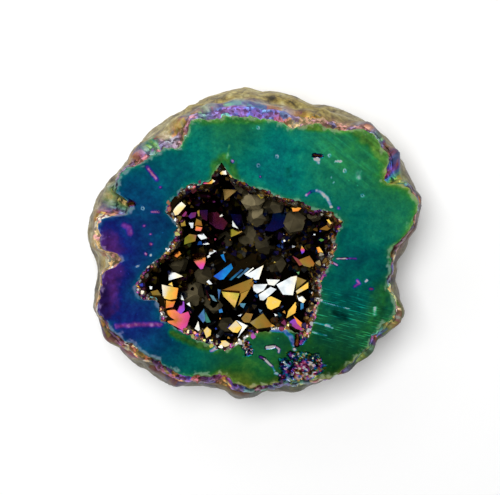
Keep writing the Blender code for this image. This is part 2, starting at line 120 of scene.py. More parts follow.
# Marks in the polish: half width, softness, film, brightness, depth, and the points on their way, in mm
MARKS = [
    (0.15, 1.1, 0.73, 0.8, 0, [(-6.6, 12.2), (-6.3, 14.8), (-4.9, 16.0), (-3.6, 14.6), (-2.9, 12.2)]),
    (0.2, 0.9, 0.75, 0.55, 0, [(-13.8, -14.2), (-10.7, -15.8), (-6.5, -17.0)]),
    (0.3, 1.0, 0.74, 0.9, 0, [(-8.2, 22.4), (-3.9, 22.7), (0.8, 22.4)]),
    (0.3, 0.8, 0.77, 0.8, 0, [(8.0, 21.3), (11.7, 21.0)]),
    (0.4, 1.6, 0.76, 0.85, 0, [(17.8, 20.3), (20.7, 18.2), (23.3, 15.3)]),
    (0.3, 1.3, 0.78, 0.6, 0, [(-3.2, -22.3)]),
    (0.4, 2.6, 0.7, 0.5, 0, [(22.0, -7.0), (21.5, -12.0), (19.0, -15.5)]),
    (0.5, 2.6, 0.34, 0.6, 0, [(-24.8, 1.6), (-24.3, -2.0), (-24.6, -5.0), (-25.2, -9.0)]),
    (0.3, 1.2, 0.38, 0.3, 0, [(-25.5, -6.7), (-25.3, -11.0)]),
    (0.3, 0.8, 0.6, 0.8, 0, [(5.9, 13.9), (6.1, 11.5)]),
    (0.2, 0.6, 0.66, 1.6, 0, [(17.8, 13.3), (17.8, 12.7)]),
    (0.1, 0.3, 0.14, 0.12, 0.3, [(10.3, 16.3), (11.5, 16.2)]),
    (0.2, 0.2, 0.27, 4.4, 0.05, [(10.5, 15.7), (11.0, 15.6)]),
    (0.08, 0.2, 0.54, 3, 0, [(11.0, 15.1)]),
    (0.1, 0.25, 0.28, 1.8, 0.05, [(9.1, 9.6), (9.8, 10.2)]),
    (0.08, 0.25, 0.5, 0.7, 0.05, [(9.8, 10.2), (10.8, 10.3)]),
    (0.1, 0.3, 0.5, 2.2, 0.05, [(10.8, 10.3), (11.6, 10.0), (12.6, 9.0), (13.1, 7.9)]),
    (0.12, 0.2, 0.8, 3.8, 0, [(13.2, 7.6)]),
    (0.15, 0.3, 0.32, 1.6, 0, [(14.5, 7.4)]),
    (0.06, 0.15, 0.55, 2.4, 0, [(13.9, 15.3), (14.8, 15.3)]),
    (0.06, 0.15, 0.55, 2.4, 0, [(13.2, 12.6)]),
    (0.06, 0.15, 0.55, 2.4, 0, [(13.6, 11.7)]),
    (0.15, 0.4, 0.34, 1.1, 0.05, [(-17.9, 14.3), (-16.2, 12.2)]),
    (0.04, 0.2, 0.24, 1.6, 0.05, [(-17.7, 14.0), (-16.4, 12.4)]),
    (0.1, 0.35, 0.25, 1.5, 0.1, [(-15.7, 10.9)]),
    (0.1, 0.35, 0.26, 1.5, 0.1, [(-18.5, 4.3)]),
    (0.1, 0.35, 0.24, 1.5, 0.1, [(-17.4, 1.2)]),
    (0.1, 0.35, 0.27, 1.5, 0.1, [(-18.2, -0.5)]),
    (0.12, 0.2, 0.24, 1.8, 0.1, [(-17.4, 2.9)]),
    (0.12, 0.2, 0.27, 2, 0.1, [(1.2, 12.7)]),
    (0.1, 0.2, 0.51, 2.6, 0, [(-17.4, -0.7)]),
    (0.1, 0.2, 0.5, 2.6, 0, [(-19.7, -2.6)]),
    (0.08, 0.2, 0.25, 1.8, 0.05, [(-17.2, 6.7), (-16.0, 6.7)]),
    (0.15, 0.6, 0.31, 1.1, 0.05, [(-21.9, 4.5), (-21.1, 4.2), (-20.9, 3.1)]),
    (0.2, 0.25, 0.33, 1.8, 0.1, [(-3.5, 15.3)]),
    (0.04, 0.3, 0.7, 1.4, 0, [(-4.0, 18.0), (-4.4, 15.9)]),
    (0.08, 0.6, 0.3, 1.25, 0, [(-23.3, -13.0), (-19.6, -12.7), (-15.8, -12.7)]),
    (0.08, 0.2, 0.27, 2.6, 0.1, [(14.3, -1.3), (16.0, -1.25)]),
    (0.02, 0.25, 0.3, 1.1, 0.05, [(16.0, -1.25), (17.5, -1.3)]),
    (0.12, 0.2, 0.27, 1.8, 0.1, [(12.4, -2.0), (13.4, -1.9), (14.3, -2.4)]),
    (0.12, 0.3, 0.24, 1.7, 0.1, [(12.4, -2.0), (11.3, -3.2), (10.9, -5.0), (11.0, -6.7)]),
    (0.04, 0.4, 0.27, 1.2, 0.05, [(17.8, -5.0), (18.1, -5.6), (17.3, -6.1)]),
    (0.1, 0.15, 0.27, 2.8, 0, [(19.2, -5.2), (19.4, -5.0)]),
    (0.04, 0.35, 0.2, 1.1, 0, [(19.9, -6.5), (20.4, -6.5)]),
    (0.02, 0.1, 0.54, 1.7, 0, [(11.0, -8.5), (13.8, -9.3), (16.5, -10.0)]),
    (0.03, 0.15, 0.54, 1.7, 0, [(10.2, -12.3), (12.0, -12.7), (13.6, -13.3)]),
    (0.1, 0.25, 0.53, 1.9, 0, [(12.5, -12.8), (13.0, -12.9)]),
    (0.03, 0.12, 0.54, 1.7, 0, [(10.2, -14.0), (12.6, -14.6)]),
    (0.2, 1.0, 0.62, 0.12, 0, [(14.0, -10.6), (15.6, -11.4)]),
    (0.2, 0.2, 0.27, 2.8, 0.15, [(2.3, -16.7), (3.5, -16.5)]),
    (0.1, 0.15, 0.27, 3.2, 0.1, [(3.8, -16.4)]),
    (0.12, 0.2, 0.25, 2.2, 0.1, [(4.0, -16.6), (4.5, -17.0), (4.4, -17.5)]),
    (0.15, 0.2, 0.33, 0.6, 0.1, [(1.2, -18.3), (1.9, -18.6)]),
    (0.12, 0.2, 0.27, 2.2, 0.1, [(1.9, -18.7), (3.3, -20.0)]),
    (0.04, 0.15, 0.5, 1.6, 0, [(3.3, -20.0), (3.9, -21.2)]),
    (0.15, 0.25, 0.52, 2.0, 0.1, [(3.9, -21.2), (4.5, -21.5)]),
    (0.15, 0.25, 0.3, 2.0, 0.1, [(4.6, -21.6), (5.3, -21.9)]),
    (0.1, 0.25, 0.18, 0.35, 0.1, [(5.5, -22.1), (5.6, -23.0)]),
    (0.25, 0.3, 0.47, 1.5, 0, [(3.2, -13.6), (5.3, -13.7), (6.4, -14.7), (6.9, -16.1)]),
    (0.15, 0.25, 0.33, 2.0, 0.05, [(-7.2, -17.3), (-5.8, -16.5)]),
    (0.25, 0.2, 0.16, 0.4, 0.5, [(7.7, -14.6), (7.5, -16.2)]),
    (0.25, 0.25, 0.28, 1.2, 0.1, [(9.8, -11.2), (9.7, -12.8), (9.2, -14.7), (8.2, -15.9)]),
    (0.05, 0.2, 0.42, 1.8, 0.1, [(9.6, -14.0), (8.5, -16.0)]),
    (0.2, 0.2, 0.27, 2.6, 0.1, [(7.1, -17.0)]),
    (0.12, 0.3, 0.66, 1.8, 0, [(20.8, -9.8), (20.8, -11.0)]),
    (0.25, 0.4, 0.12, 0.1, 0.3, [(-23.5, 8.8), (-21.9, 7.9), (-20.4, 8.1)]),
    (0.15, 0.3, 0.26, 1.8, 0.1, [(-24.0, 6.7), (-22.3, 6.6)]),
]

# Pits with a crust of tiny crystals: half width, softness and grain in mm, films to choose from, and the path
SUGARY = [
    (1.7, 0.5, 0.5, (0.26, 0.98, 0.0, 0.3, 0.24, 0.02, 0.5, 0.12), [(8.2, -20.9), (10.2, -20.0)]),
    (0.5, 0.4, 0.4, (0.5, 0.0, 0.98, 0.3, 0.54), [(6.6, -18.2), (8.6, -18.3), (10.4, -18.6)]),
    (0.7, 0.5, 0.45, (0.42, 0.5, 0.3, 0.55, 0.24), [(5.6, -22.2), (6.3, -20.6), (5.4, -19.5)]),
    (0.35, 0.3, 0.35, (0.12, 0.24, 0.98, 0.18), [(-1.7, -15.7), (-1.1, -16.6)]),
    (0.25, 0.4, 0.35, (0.5, 0.0, 0.3), [(-1.0, -17.8), (-0.4, -17.3)]),
]

# Bubbles in the agate, cut open: rings of bright film, x and y in mm
RINGS = [
    (0.8, 21.0), (4.0, 16.1), (0.9, 14.6), (12.9, 16.3), (15.5, 13.7), (18.5, 9.5), (-11.4, 19.9),
    (11.0, 15.1), (-18.7, 7.3),
]
RING_RADIUS = 0.25
RING_MARK = (0.02, 0.12, 0.54, 2.0, 0)  # as the first five values of a row of MARKS

# Where the polishing wheel left streaks: attribute, x, y, half length, half width and azimuth of the area,
# then length and width of a streak in mm, the noise from which it shows, and how bright it gets
STREAKS = [
    ("scratched", 15.5, -12.0, 7.5, 4.5, -14, 3.0, 0.2, 0.56, 3.5),
    ("wiped", 17.5, 18.0, 7.0, 6.0, -38, 9.0, 0.8, 0.45, 0.4),
]

# The broken edge and the rind next to it: degrees, film, how far chips differ, brightness, cover of the coat,
# and how golden the ochre of the rind is
BAND = [
    (2, 0.18, 0.08, 0.35, 0.5, 0.3), (7, 0.2, 0.1, 0.4, 0.4, 0.3), (12, 0.36, 0.35, 0.8, 0.5, 0.3),
    (20, 0.3, 0.3, 0.9, 0.4, 0.4), (26, 0.84, 0.08, 0.9, 0.8, 0.5), (30, 0.25, 0.08, 1, 0.9, 0.5),
    (33, 0.44, 0.08, 0.8, 0.9, 0.5), (37, 0.16, 0.08, 0.2, 0.5, 0.5), (41, 0.56, 0.15, 1.1, 0.6, 0.6),
    (47, 0.3, 0.15, 0.9, 0.5, 0.6), (58, 0.26, 0.14, 0.8, 0.5, 0.7), (62, 0.12, 0.06, 0.9, 0.4, 1),
    (72, 0.2, 0.2, 0.9, 0.4, 1), (78, 0.36, 0.12, 1.1, 0.7, 1), (90, 0.4, 0.1, 1.2, 0.8, 1),
    (104, 0.46, 0.12, 1.2, 0.7, 1), (109, 0.55, 0.15, 1.1, 0.6, 1), (116, 0.35, 0.2, 0.9, 0.5, 0.9),
    (121, 0.12, 0.08, 0.4, 0.5, 0.8), (125, 0.4, 0.2, 1.2, 0.3, 0.8), (133, 0.5, 0.3, 1.1, 0.55, 0.6),
    (141, 0.27, 0.1, 1, 0.55, 0.6), (150, 0.32, 0.12, 0.8, 0.45, 0.3), (159, 0.86, 0.06, 0.6, 0.5, 0.3),
    (166, 0.05, 0.12, 1.2, 0.5, 0.5), (175, 0.04, 0.1, 1.3, 0.5, 0.5), (190, 0.05, 0.1, 1.2, 0.5, 0.5),
    (205, 0.18, 0.2, 0.48, 0.6, 0.2), (214, 0.14, 0.15, 0.56, 0.6, 0.3), (221, 0.12, 0.15, 1.1, 0.8, 0.3),
    (228, 0.16, 0.15, 0.32, 0.6, 0.3), (236, 0.22, 0.15, 0.56, 0.7, 0.3), (243, 0.25, 0.15, 1, 0.8, 0.3),
    (252, 0.3, 0.2, 0.56, 0.6, 0.3), (259, 0.14, 0.15, 1, 0.8, 0.3), (268, 0.4, 0.3, 0.64, 0.6, 0.4),
    (280, 0.6, 0.3, 0.64, 0.6, 0.4), (300, 0.3, 0.4, 0.64, 0.6, 0.4), (318, 0.85, 0.2, 0.64, 0.6, 0.4),
    (325, 0.46, 0.35, 1, 0.8, 0.4), (332, 0.88, 0.15, 1.1, 0.6, 0.4), (344, 0.92, 0.15, 1.1, 0.6, 0.4),
    (349, 0.17, 0.15, 0.32, 0.6, 0.3), (355, 0.24, 0.25, 0.7, 0.6, 0.3),
]


def around(outline, degrees, column=1):
    """Value of a closed outline at each of these angles."""
    rows = np.array(outline)
    return np.interp(np.mod(degrees, 360), rows[:, 0], rows[:, column], period=360)


def spoke_angles(count):
    """Angles, in degrees, of this many points spread evenly round the stone."""
    return (np.arange(count) + 0.5) * 360 / count


def ring(degrees, radius, z, middle=(0, 0)):
    """Ring of points at these angles and radii, at height z."""
    a = np.radians(degrees)
    x, y = middle[0] + radius * np.cos(a), middle[1] + radius * np.sin(a)
    return np.column_stack([x, y, np.full(len(a), z)])


def hollow_ring(degrees, mouth, share, depth):
    """Ring of the hollow's wall at a share of its depth. Its lobes even out downwards."""
    lobed = mouth + (HOLLOW_EVEN - mouth) * 0.7 * share
    radius = lobed * (1 - share**2.4) ** 0.55
    return ring(degrees, radius, HEIGHT - share * depth, share * np.array(HOLLOW_FLOOR))


def ring_faces(counts):
    """Faces, looking out, between rings of these many points, each as many as the last or half as many."""
    faces = []
    start = 0
    for count, following in zip(counts, counts[1:]):
        upper = start + count
        for i in range(following):
            j = (i + 1) % following
            if following == count:
                faces.append((start + i, upper + i, upper + j, start + j))
            else:
                a, b, c = start + 2 * i, start + 2 * i + 1, start + 2 * j
                faces.append((a, upper + i, b))
                faces.append((b, upper + i, upper + j, c))
        start = upper
    return faces


def distance_to(path, x, y):
    """Distance of each point x, y to a path in the plane."""
    nearest = np.full(x.shape, 1e9)
    for (ax, ay), (bx, by) in zip(path, path[1:] or path):
        length2 = max((bx - ax) ** 2 + (by - ay) ** 2, 1e-9)
        t = np.clip(((x - ax) * (bx - ax) + (y - ay) * (by - ay)) / length2, 0, 1)
        nearest = np.minimum(nearest, np.hypot(x - ax - t * (bx - ax), y - ay - t * (by - ay)))
    return nearest


def chips(point, size, depth):
    """Broken facets: how far a point is raised on its facet, and the facet's own number from 0 to 1."""
    near = noise.voronoi(point / size)[1][0]
    tilt = noise.cell_vector(near * 37.7) - Vector((0.5, 0.5, 0.5))
    own = 0.5 + 0.5 * noise.cell(near * 91.3)
    return depth * (2 * tilt.dot(point / size - near) + 0.6 * (own - 0.5)), own


def linear(hex_colour):
    """Linear colour of an sRGB hex colour."""
    parts = [int(hex_colour[i : i + 2], 16) / 255 for i in (1, 3, 5)]
    return (*[p / 12.92 if p <= 0.04045 else ((p + 0.055) / 1.055) ** 2.4 for p in parts], 1)


def node(tree, kind, settings=None, **inputs):
    """Adds a shader node with its settings. Inputs, by name or number, are values, sockets or nodes."""
    made = tree.nodes.new("ShaderNode" + kind)
    for key, value in (settings or {}).items():
        if key == "stops":  # of a colour ramp
            elements = made.color_ramp.elements
            while len(elements) < len(value):
                elements.new(0.5)
            for element, (place, colour) in zip(elements, value):
                element.position = place
                element.color = colour
        else:
            setattr(made, key, value)
    for key, value in inputs.items():
        socket = made.inputs[int(key[1:]) if key[1:].isdigit() else key.replace("_", " ")]
        if isinstance(value, bpy.types.Node):
            value = value.outputs[0]
        if isinstance(value, bpy.types.NodeSocket):
            tree.links.new(value, socket)
        else:
            socket.default_value = value
    return made


def new_material(name):
    """A new material, its node tree and its shader."""
    made = bpy.data.materials.new(name)
    made.use_nodes = True
    return made, made.node_tree, made.node_tree.nodes["Principled BSDF"]


# Colours that a thin film takes as it thickens, in the order of interference
FILM = [
    (0.00, linear("#e6eef2")),
    (0.035, linear("#f2ecd8")),
    (0.08, linear("#e3bd52")),
    (0.16, linear("#dd8334")),
    (0.24, linear("#cf4a80")),
    (0.32, linear("#8c46b8")),
    (0.42, linear("#2a3fc0")),
    (0.52, linear("#1083b8")),
    (0.62, linear("#0fb09b")),
    (0.72, linear("#3fb257")),
    (0.82, linear("#9fbd3c")),
    (0.91, linear("#e0bb46")),
    (1.00, linear("#dc6f8e")),
]


def ragged(degrees, radius, size, amount):
    """Radii of an outline, made uneven by noise of this size and amount in mm."""
    return radius + amount * np.array([noise.noise(Vector(p) / size) for p in ring(degrees, radius, HEIGHT)])


fine = spoke_angles(SPOKES)
coarse = spoke_angles(SPOKES // 2)
edge = ragged(fine, ragged(fine, around(FACE_EDGE, fine), 1.7, 0.45), 0.55, 0.3)
border = around(MOUTH, fine) + around(RIM, fine)
border = ragged(fine, ragged(fine, border, 1.3, 0.5), 0.45, 0.3)
hollow = around(MOUTH, fine) + UNDERCUT

rings = []
zone = []  # which part of the surface each ring belongs to
WALL, FACE, BROKEN, SKIN = range(4)
MATERIAL_PLACE = {WALL: 1, FACE: 0, BROKEN: 1, SKIN: 2}  # in the list of the stone's materials
for share in (0.95, 0.7, 0.35, 0.1, 0.02):
    rings.append(hollow_ring(fine, np.maximum(hollow, border), share, HOLLOW_DEPTH))
    zone.append(WALL)
for t in np.linspace(0, 1, FACE_ROWS):
    rings.append(ring(fine, border + (edge - border) * t, HEIGHT))
    zone.append(FACE)
broken = edge + EDGE_SHARE * (around(WAIST, fine) - edge)
for t in np.linspace(0.06, 1, 14):
    rings.append(ring(fine, edge + (broken - edge) * t**0.8, HEIGHT - EDGE_DROP * t**1.6))
    zone.append(BROKEN)
edge, waist = around(FACE_EDGE, coarse), around(WAIST, coarse)
broken = edge + EDGE_SHARE * (waist - edge)
rest = 1 / np.hypot(np.cos(np.radians(coarse)) / REST_RADIUS_X, np.sin(np.radians(coarse)) / REST_RADIUS_Y)
for t in np.linspace(0, 1, 34)[1:]:
    turn = (1 - t) * math.pi / 2
    drop = WAIST_DROP - (WAIST_DROP - EDGE_DROP) * math.sin(turn)
    rings.append(ring(coarse, broken + (waist - broken) * math.cos(turn), HEIGHT - drop))
    zone.append(SKIN)
for t in np.linspace(1, 0, 26)[1:]:
    rise = (HEIGHT - WAIST_DROP) * (1 - math.cos(t * math.pi / 2))
    rings.append(ring(coarse, rest + (waist - rest) * math.sin(t * math.pi / 2) ** 0.85, rise))
    zone.append(SKIN)
rings.append(ring(coarse, rest * 0.5, 0.0))
zone.append(SKIN)


def face_finish(points, degrees):
    """Film, brightness, cover and depth of the polished face at its points, and how streaked it is."""
    x, y = points[:, 0], points[:, 1]
    weight = np.full(len(x), 1e-9)
    film = np.zeros(len(x))
    tone = np.zeros(len(x))
    for cx, cy, reach, centre_film, centre_tone in FACE_COLOURS:
        w = np.exp(-((x - cx) ** 2 + (y - cy) ** 2) / (2 * (0.75 * reach) ** 2))
        weight += w
        film += w * centre_film
        tone += w * centre_tone
    film, tone = film / weight, tone / weight
    radius = np.hypot(x, y)
    to_edge = np.maximum(around(FACE_EDGE, degrees) - radius, 0)
    to_mouth = np.maximum(radius - around(MOUTH, degrees) - around(RIM, degrees), 0)
    # Both borders are crumbled: there the coat is patchy, with pale stone between
    patch = np.array([noise.noise(Vector(p) / 1.1) + 0.6 * noise.noise(Vector(p) / 0.4) for p in points])
    cover = np.clip(0.35 + (to_edge + patch) / 0.6, 0.2, 1)
    cover *= np.clip(0.4 + (to_mouth + 0.5 * patch) / 0.4, 0.3, 1)
    # Painted highlight: a glint painted just inside the face's edge, as bright as the broken band beside it
    painted_edge_glint = around(BAND, degrees, 3) * np.clip(0.5 + patch, 0, 1.5)
    tone += 0.35 * painted_edge_glint * np.exp(-to_edge / 0.35)
    # The film is thicker, and the surface a little lower, close to them
    film += 0.10 * np.exp(-to_edge / 0.6) + 0.07 * np.exp(-to_mouth / 0.8)
    depth = 0.04 * np.exp(-to_mouth / 0.5)
    shapes = [(*row[:5], distance_to(row[5], x, y)) for row in MARKS]
    for cx, cy in RINGS:
        shapes.append((*RING_MARK, np.abs(np.hypot(x - cx, y - cy) - RING_RADIUS)))
    for half_width, soft, mark_film, mark_tone, mark_depth, distance in shapes:
        w = np.clip((half_width + soft - distance) / soft + 0.3 * patch, 0, 1)
        w = w * (distance < half_width + 1.5 * soft)
        w = w * w * (3 - 2 * w)
        film += (mark_film - film) * w
        tone += (mark_tone * (1 + 0.5 * patch) - tone) * w
        depth += mark_depth * w
        if mark_depth:
            cover += (1 - cover) * w
    for half_width, soft, grain, choices, path in SUGARY:
        w = np.clip((half_width + soft + 0.5 * patch - distance_to(path, x, y)) / soft, 0, 1)
        for i in np.flatnonzero(w):
            raised, own = chips(Vector(points[i]), grain, 0.14)
            film[i] += (choices[int(own * len(choices)) % len(choices)] - film[i]) * w[i]
            tone[i] += (0.15 + 2.8 * (own * 13.7 % 1) ** 2 - tone[i]) * w[i]
            depth[i] += (0.2 - raised) * w[i]
    streaked = []
    for _, cx, cy, half_length, half_width, azimuth, *_ in STREAKS:
        a = math.radians(azimuth)
        along = (x - cx) * math.cos(a) + (y - cy) * math.sin(a)
        off = (y - cy) * math.cos(a) - (x - cx) * math.sin(a)
        streaked.append(np.exp(-((along / half_length) ** 4) - (off / half_width) ** 4))
    return film, tone, cover, depth, streaked


values = {name: [] for name in ("film", "tone", "cover", "ochre", *[row[0] for row in STREAKS])}
for points, kind in zip(rings, zone):
    degrees = fine if len(points) == SPOKES else coarse
    streaked = [np.zeros(len(points)) for _ in STREAKS]
    film, tone, cover, ochre = [around(BAND, degrees, column) for column in (1, 3, 4, 5)]
    if kind == FACE:
        film, tone, cover, depth, streaked = face_finish(points, degrees)
        points[:, 2] -= depth
    elif kind == WALL:
        # Painted shade: the hollow's wall, behind the crystals, is painted almost black
        film, tone = film * 0 + 0.12, tone * 0 + 0.1
    else:
        spread = around(BAND, degrees, 2)
        for i in range(len(points)):
            p = Vector(points[i])
            out = Vector((p.x, p.y, 0)).normalized()
            if kind == BROKEN:
                raised, own = chips(p, 1.3, 0.2)
                fine_raised, fine_own = chips(p + Vector((9, 9, 9)), 0.5, 0.08)
                sunk = Vector((0, 0, 0.8 * abs(raised) + 0.6 * abs(fine_raised)))
                p += out * (raised + fine_raised) * 0.6 - sunk
                least = 0.05 + 0.4 * ochre[i]
                tone[i] *= least + (2.0 - least) * fine_own**1.7
            else:
                swell = noise.noise(p / LUMP_SPACING) + 0.5 * noise.noise(p * 2.3 / LUMP_SPACING)
                fade = min(1.0, p.z / 6) * (0.25 + 0.75 * min(1.0, abs(p.z - HEIGHT + WAIST_DROP) / 6))
                rough = min(1.0, p.z / 1.5)
                raised, own = chips(p, 2.4, 0.1)
                fine_raised, fine_own = chips(p + Vector((5, 5, 5)), 0.7, 0.06)
                reach = 1.0 + 4.5 * cover[i]
                cover[i] *= min(1.0, max(0.0, 1.6 * (p.z - HEIGHT + reach) / reach)) * (0.5 + 0.5 * own)
                p += out * (LUMP_HEIGHT * swell * fade + rough * (raised + fine_raised))
                # Painted shade on the rind: lightest towards azimuth 110, the lamps' side, darker away from
                # it
                lamp_side_shade = 0.64 + 0.36 * math.sin(math.radians(degrees[i] - 20))
                tone[i] = lamp_side_shade * (1 + (tone[i] - 1) * cover[i])
                tone[i] *= 0.65 + 0.45 * fine_own
            film[i] += spread[i] * (2 * own - 1) + 0.04 * (2 * fine_own - 1)
            points[i] = p
    for name, column in zip(values, (np.mod(film, 1.0), tone, cover, ochre, *streaked)):
        values[name].append(column)

floor_point, rest_point = [*HOLLOW_FLOOR, HEIGHT - HOLLOW_DEPTH], [0, 0, 0]
stone_points = np.vstack([*rings, floor_point, rest_point])
counts = [len(points) for points in rings]
stone_faces = ring_faces(counts)
slots = []
for kind, count, following in zip(zone[1:], counts, counts[1:]):
    slots += [MATERIAL_PLACE[kind]] * (count if count == following else 2 * following)
for i in range(counts[0]):
    stone_faces.append((sum(counts), i, (i + 1) % counts[0]))
    slots.append(MATERIAL_PLACE[WALL])
last = sum(counts[:-1])
for i in range(counts[-1]):
    stone_faces.append((sum(counts) + 1, last + (i + 1) % counts[-1], last + i))
    slots.append(MATERIAL_PLACE[SKIN])
mesh = bpy.data.meshes.new("agate_stone")
mesh.from_pydata((stone_points * MM).tolist(), [], stone_faces)
first_points = [face[0] for face in stone_faces]  # a chip's face has one colour, that of its first point
for name, columns in values.items():
    column = np.append(np.concatenate(columns), [0.5, 0.5]).astype(np.float32)
    layer = mesh.attributes.new(name, "FLOAT", "POINT")
    layer.data.foreach_set("value", column)
    if name in ("film", "tone", "ochre"):
        layer = mesh.attributes.new("chip_" + name, "FLOAT", "FACE")
        layer.data.foreach_set("value", column[first_points])
mesh.polygons.foreach_set("material_index", np.array(slots, np.int32))
mesh.shade_smooth()
mesh.set_sharp_from_angle(angle=math.radians(35))
stone = bpy.data.objects.new("agate_stone", mesh)
bpy.context.scene.collection.objects.link(stone)

# Polished and coated agate: a dark mirror with a satin break-up, its hue from the film's thickness. Specks
# and streaks of the wheel are painted brighter, as painted highlights where they catch the light; bright
# marks turn milky, and pale agate shows where the coat is patchy
CLOUD_SIZE = 3.5  # mm
MOTTLE_SIZE = 1.1  # mm
GRAIN_SIZE = 0.4  # mm, coarser than the true grain, which would not show
SPECK_SPACING = 1.5  # mm
polish, tree, shader = new_material("coated polished agate")
place = node(tree, "TexCoord").outputs["Object"]
film, tone, cover, *streaked = [
    node(tree, "Attribute", {"attribute_name": name})
    for name in ("film", "tone", "cover", *[row[0] for row in STREAKS])
]
grain = node(tree, "TexNoise", Vector=place, Scale=1 / (GRAIN_SIZE * MM), Detail=2.0, Roughness=0.6)
shade = node(tree, "Math", {"operation": "MULTIPLY_ADD"}, i0=grain, i1=0.7, i2=0.65)
for size, detail, rough, drift in ((CLOUD_SIZE, 3.0, 0.6, 0.09), (MOTTLE_SIZE, 4.0, 0.7, 0.08)):
    cloud = node(tree, "TexNoise", Vector=place, Scale=1 / (size * MM), Detail=detail, Roughness=rough)
    off = node(tree, "Math", {"operation": "SUBTRACT"}, i0=cloud, i1=0.5)
    film = node(tree, "Math", {"operation": "MULTIPLY_ADD"}, i0=off, i1=drift, i2=film)
    uneven = node(tree, "Math", {"operation": "MULTIPLY_ADD"}, i0=off, i1=1.2, i2=1.0)
    shade = node(tree, "Math", {"operation": "MULTIPLY"}, i0=shade, i1=uneven)
specks = node(tree, "TexVoronoi", Vector=place, Scale=1 / (SPECK_SPACING * MM))
own_number = node(tree, "SeparateColor", i0=specks.outputs["Color"])
chosen = node(tree, "Math", {"operation": "GREATER_THAN"}, i0=own_number, i1=0.7)
near = node(tree, "MapRange", i0=specks, i1=0.03, i2=0.11, i3=1.3, i4=0.0)
shade = node(tree, "Math", {"operation": "MULTIPLY_ADD"}, i0=near, i1=chosen, i2=shade)
for area, (*_, azimuth, length, width, level, gain) in zip(streaked, STREAKS):
    turned = node(tree, "Mapping", {"vector_type": "TEXTURE"}, Vector=place,
                  Rotation=(0, 0, math.radians(azimuth)), Scale=(length * MM, width * MM, 1))
    streak = node(tree, "TexNoise", Vector=turned, Scale=1.0, Detail=2.0)
    lines = node(tree, "MapRange", i0=streak, i1=level, i2=level + 0.15, i3=0.0, i4=gain)
    shade = node(tree, "Math", {"operation": "MULTIPLY_ADD"}, i0=lines, i1=area, i2=shade)
shade = node(tree, "Math", {"operation": "MULTIPLY"}, i0=shade, i1=tone)
hue = node(tree, "ValToRGB", {"stops": FILM}, Fac=film)
milky = node(tree, "MapRange", i0=tone, i1=1.2, i2=2.4, i3=0.0, i4=0.5)
paler = node(tree, "Mix", {"data_type": "RGBA"}, Factor=milky, i6=hue, i7=linear("#ece9fa"))
coat = node(tree, "VectorMath", {"operation": "SCALE"}, i0=paler.outputs[2], Scale=shade)
thin = node(tree, "Mix", {"data_type": "RGBA"}, Factor=0.35, i6=linear("#7f7076"), i7=hue)
bare = node(tree, "Mix", {"data_type": "RGBA"}, Factor=cover, i6=thin.outputs[2], i7=coat)
tree.links.new(bare.outputs[2], shader.inputs["Base Color"])
tree.links.new(cover.outputs["Fac"], shader.inputs["Metallic"])
shader.inputs["Roughness"].default_value = 0.15

# Broken and coated agate: the same coat glints on small shell-shaped chips and lets the stained agate show
chipped, tree, shader = new_material("coated broken agate")
film, tone, ochre, cover = [
    node(tree, "Attribute", {"attribute_name": name})
    for name in ("chip_film", "chip_tone", "chip_ochre", "cover")
]
hue = node(tree, "ValToRGB", {"stops": FILM}, Fac=film)
golden = node(tree, "Math", {"operation": "MULTIPLY"}, i0=ochre, i1=1.5)
agate = node(tree, "Mix", {"data_type": "RGBA"}, Factor=golden, i6=linear("#54463c"),
             i7=linear("#b8aa94"))
mixed = node(tree, "Mix", {"data_type": "RGBA"}, Factor=cover, i6=agate.outputs[2], i7=hue)
coat = node(tree, "VectorMath", {"operation": "SCALE"}, i0=mixed.outputs[2], Scale=tone)
tree.links.new(coat.outputs[0], shader.inputs["Base Color"])
shader.inputs["Metallic"].default_value = 0.5
shader.inputs["Roughness"].default_value = 0.28

# Weathered agate, the nodule's skin: dull and mottled, ochre above and greyer at the left, cracked where it
# is darker, and with a bloom of the coat near the cut
EARTH_PATCH = 2.2  # mm
CRACK_SPACING = 5.0  # mm
rind, tree, shader = new_material("weathered agate rind")
place = node(tree, "TexCoord").outputs["Object"]
film, tone, ochre, cover = [
    node(tree, "Attribute", {"attribute_name": name})
    for name in ("chip_film", "tone", "ochre", "cover")
]
earth = node(tree, "TexNoise", Vector=place, Scale=1 / (EARTH_PATCH * MM), Detail=6.0, Roughness=0.7)
golden = node(tree, "ValToRGB", {"stops": [
    (0.34, linear("#4c3f1e")), (0.45, linear("#98823a")), (0.55, linear("#b8a758")),
    (0.68, linear("#dcd39c")),
]}, Fac=earth)
grey = node(tree, "ValToRGB", {"stops": [
    (0.35, linear("#382e26")), (0.45, linear("#766c58")), (0.56, linear("#a29b84")),
    (0.66, linear("#dad6c8")),
]}, Fac=earth)
soil = node(tree, "Mix", {"data_type": "RGBA"}, Factor=ochre, i6=grey, i7=golden)
bent = node(tree, "Mix", {"data_type": "VECTOR"}, Factor=0.0012, i4=place, i5=earth.outputs["Color"])
cracks = node(tree, "TexVoronoi", {"feature": "DISTANCE_TO_EDGE"}, Vector=bent.outputs[1],
              Scale=1 / (CRACK_SPACING * MM))
healed = node(tree, "Math", {"operation": "MULTIPLY_ADD"}, i0=cover, i1=1.2, i2=-0.25)
healed = node(tree, "Math", {"operation": "MULTIPLY_ADD"}, i0=earth, i1=1.6, i2=healed)
healed = node(tree, "Math", {"operation": "MINIMUM"}, i0=healed, i1=1.0)
open_ground = node(tree, "MapRange", i0=cracks, i1=0.0, i2=0.05, i3=healed, i4=1.0)
hue = node(tree, "ValToRGB", {"stops": FILM}, Fac=film)
bloom = node(tree, "Math", {"operation": "MULTIPLY"}, i0=cover, i1=0.85)
mixed = node(tree, "Mix", {"data_type": "RGBA"}, Factor=bloom, i6=soil.outputs[2], i7=hue)
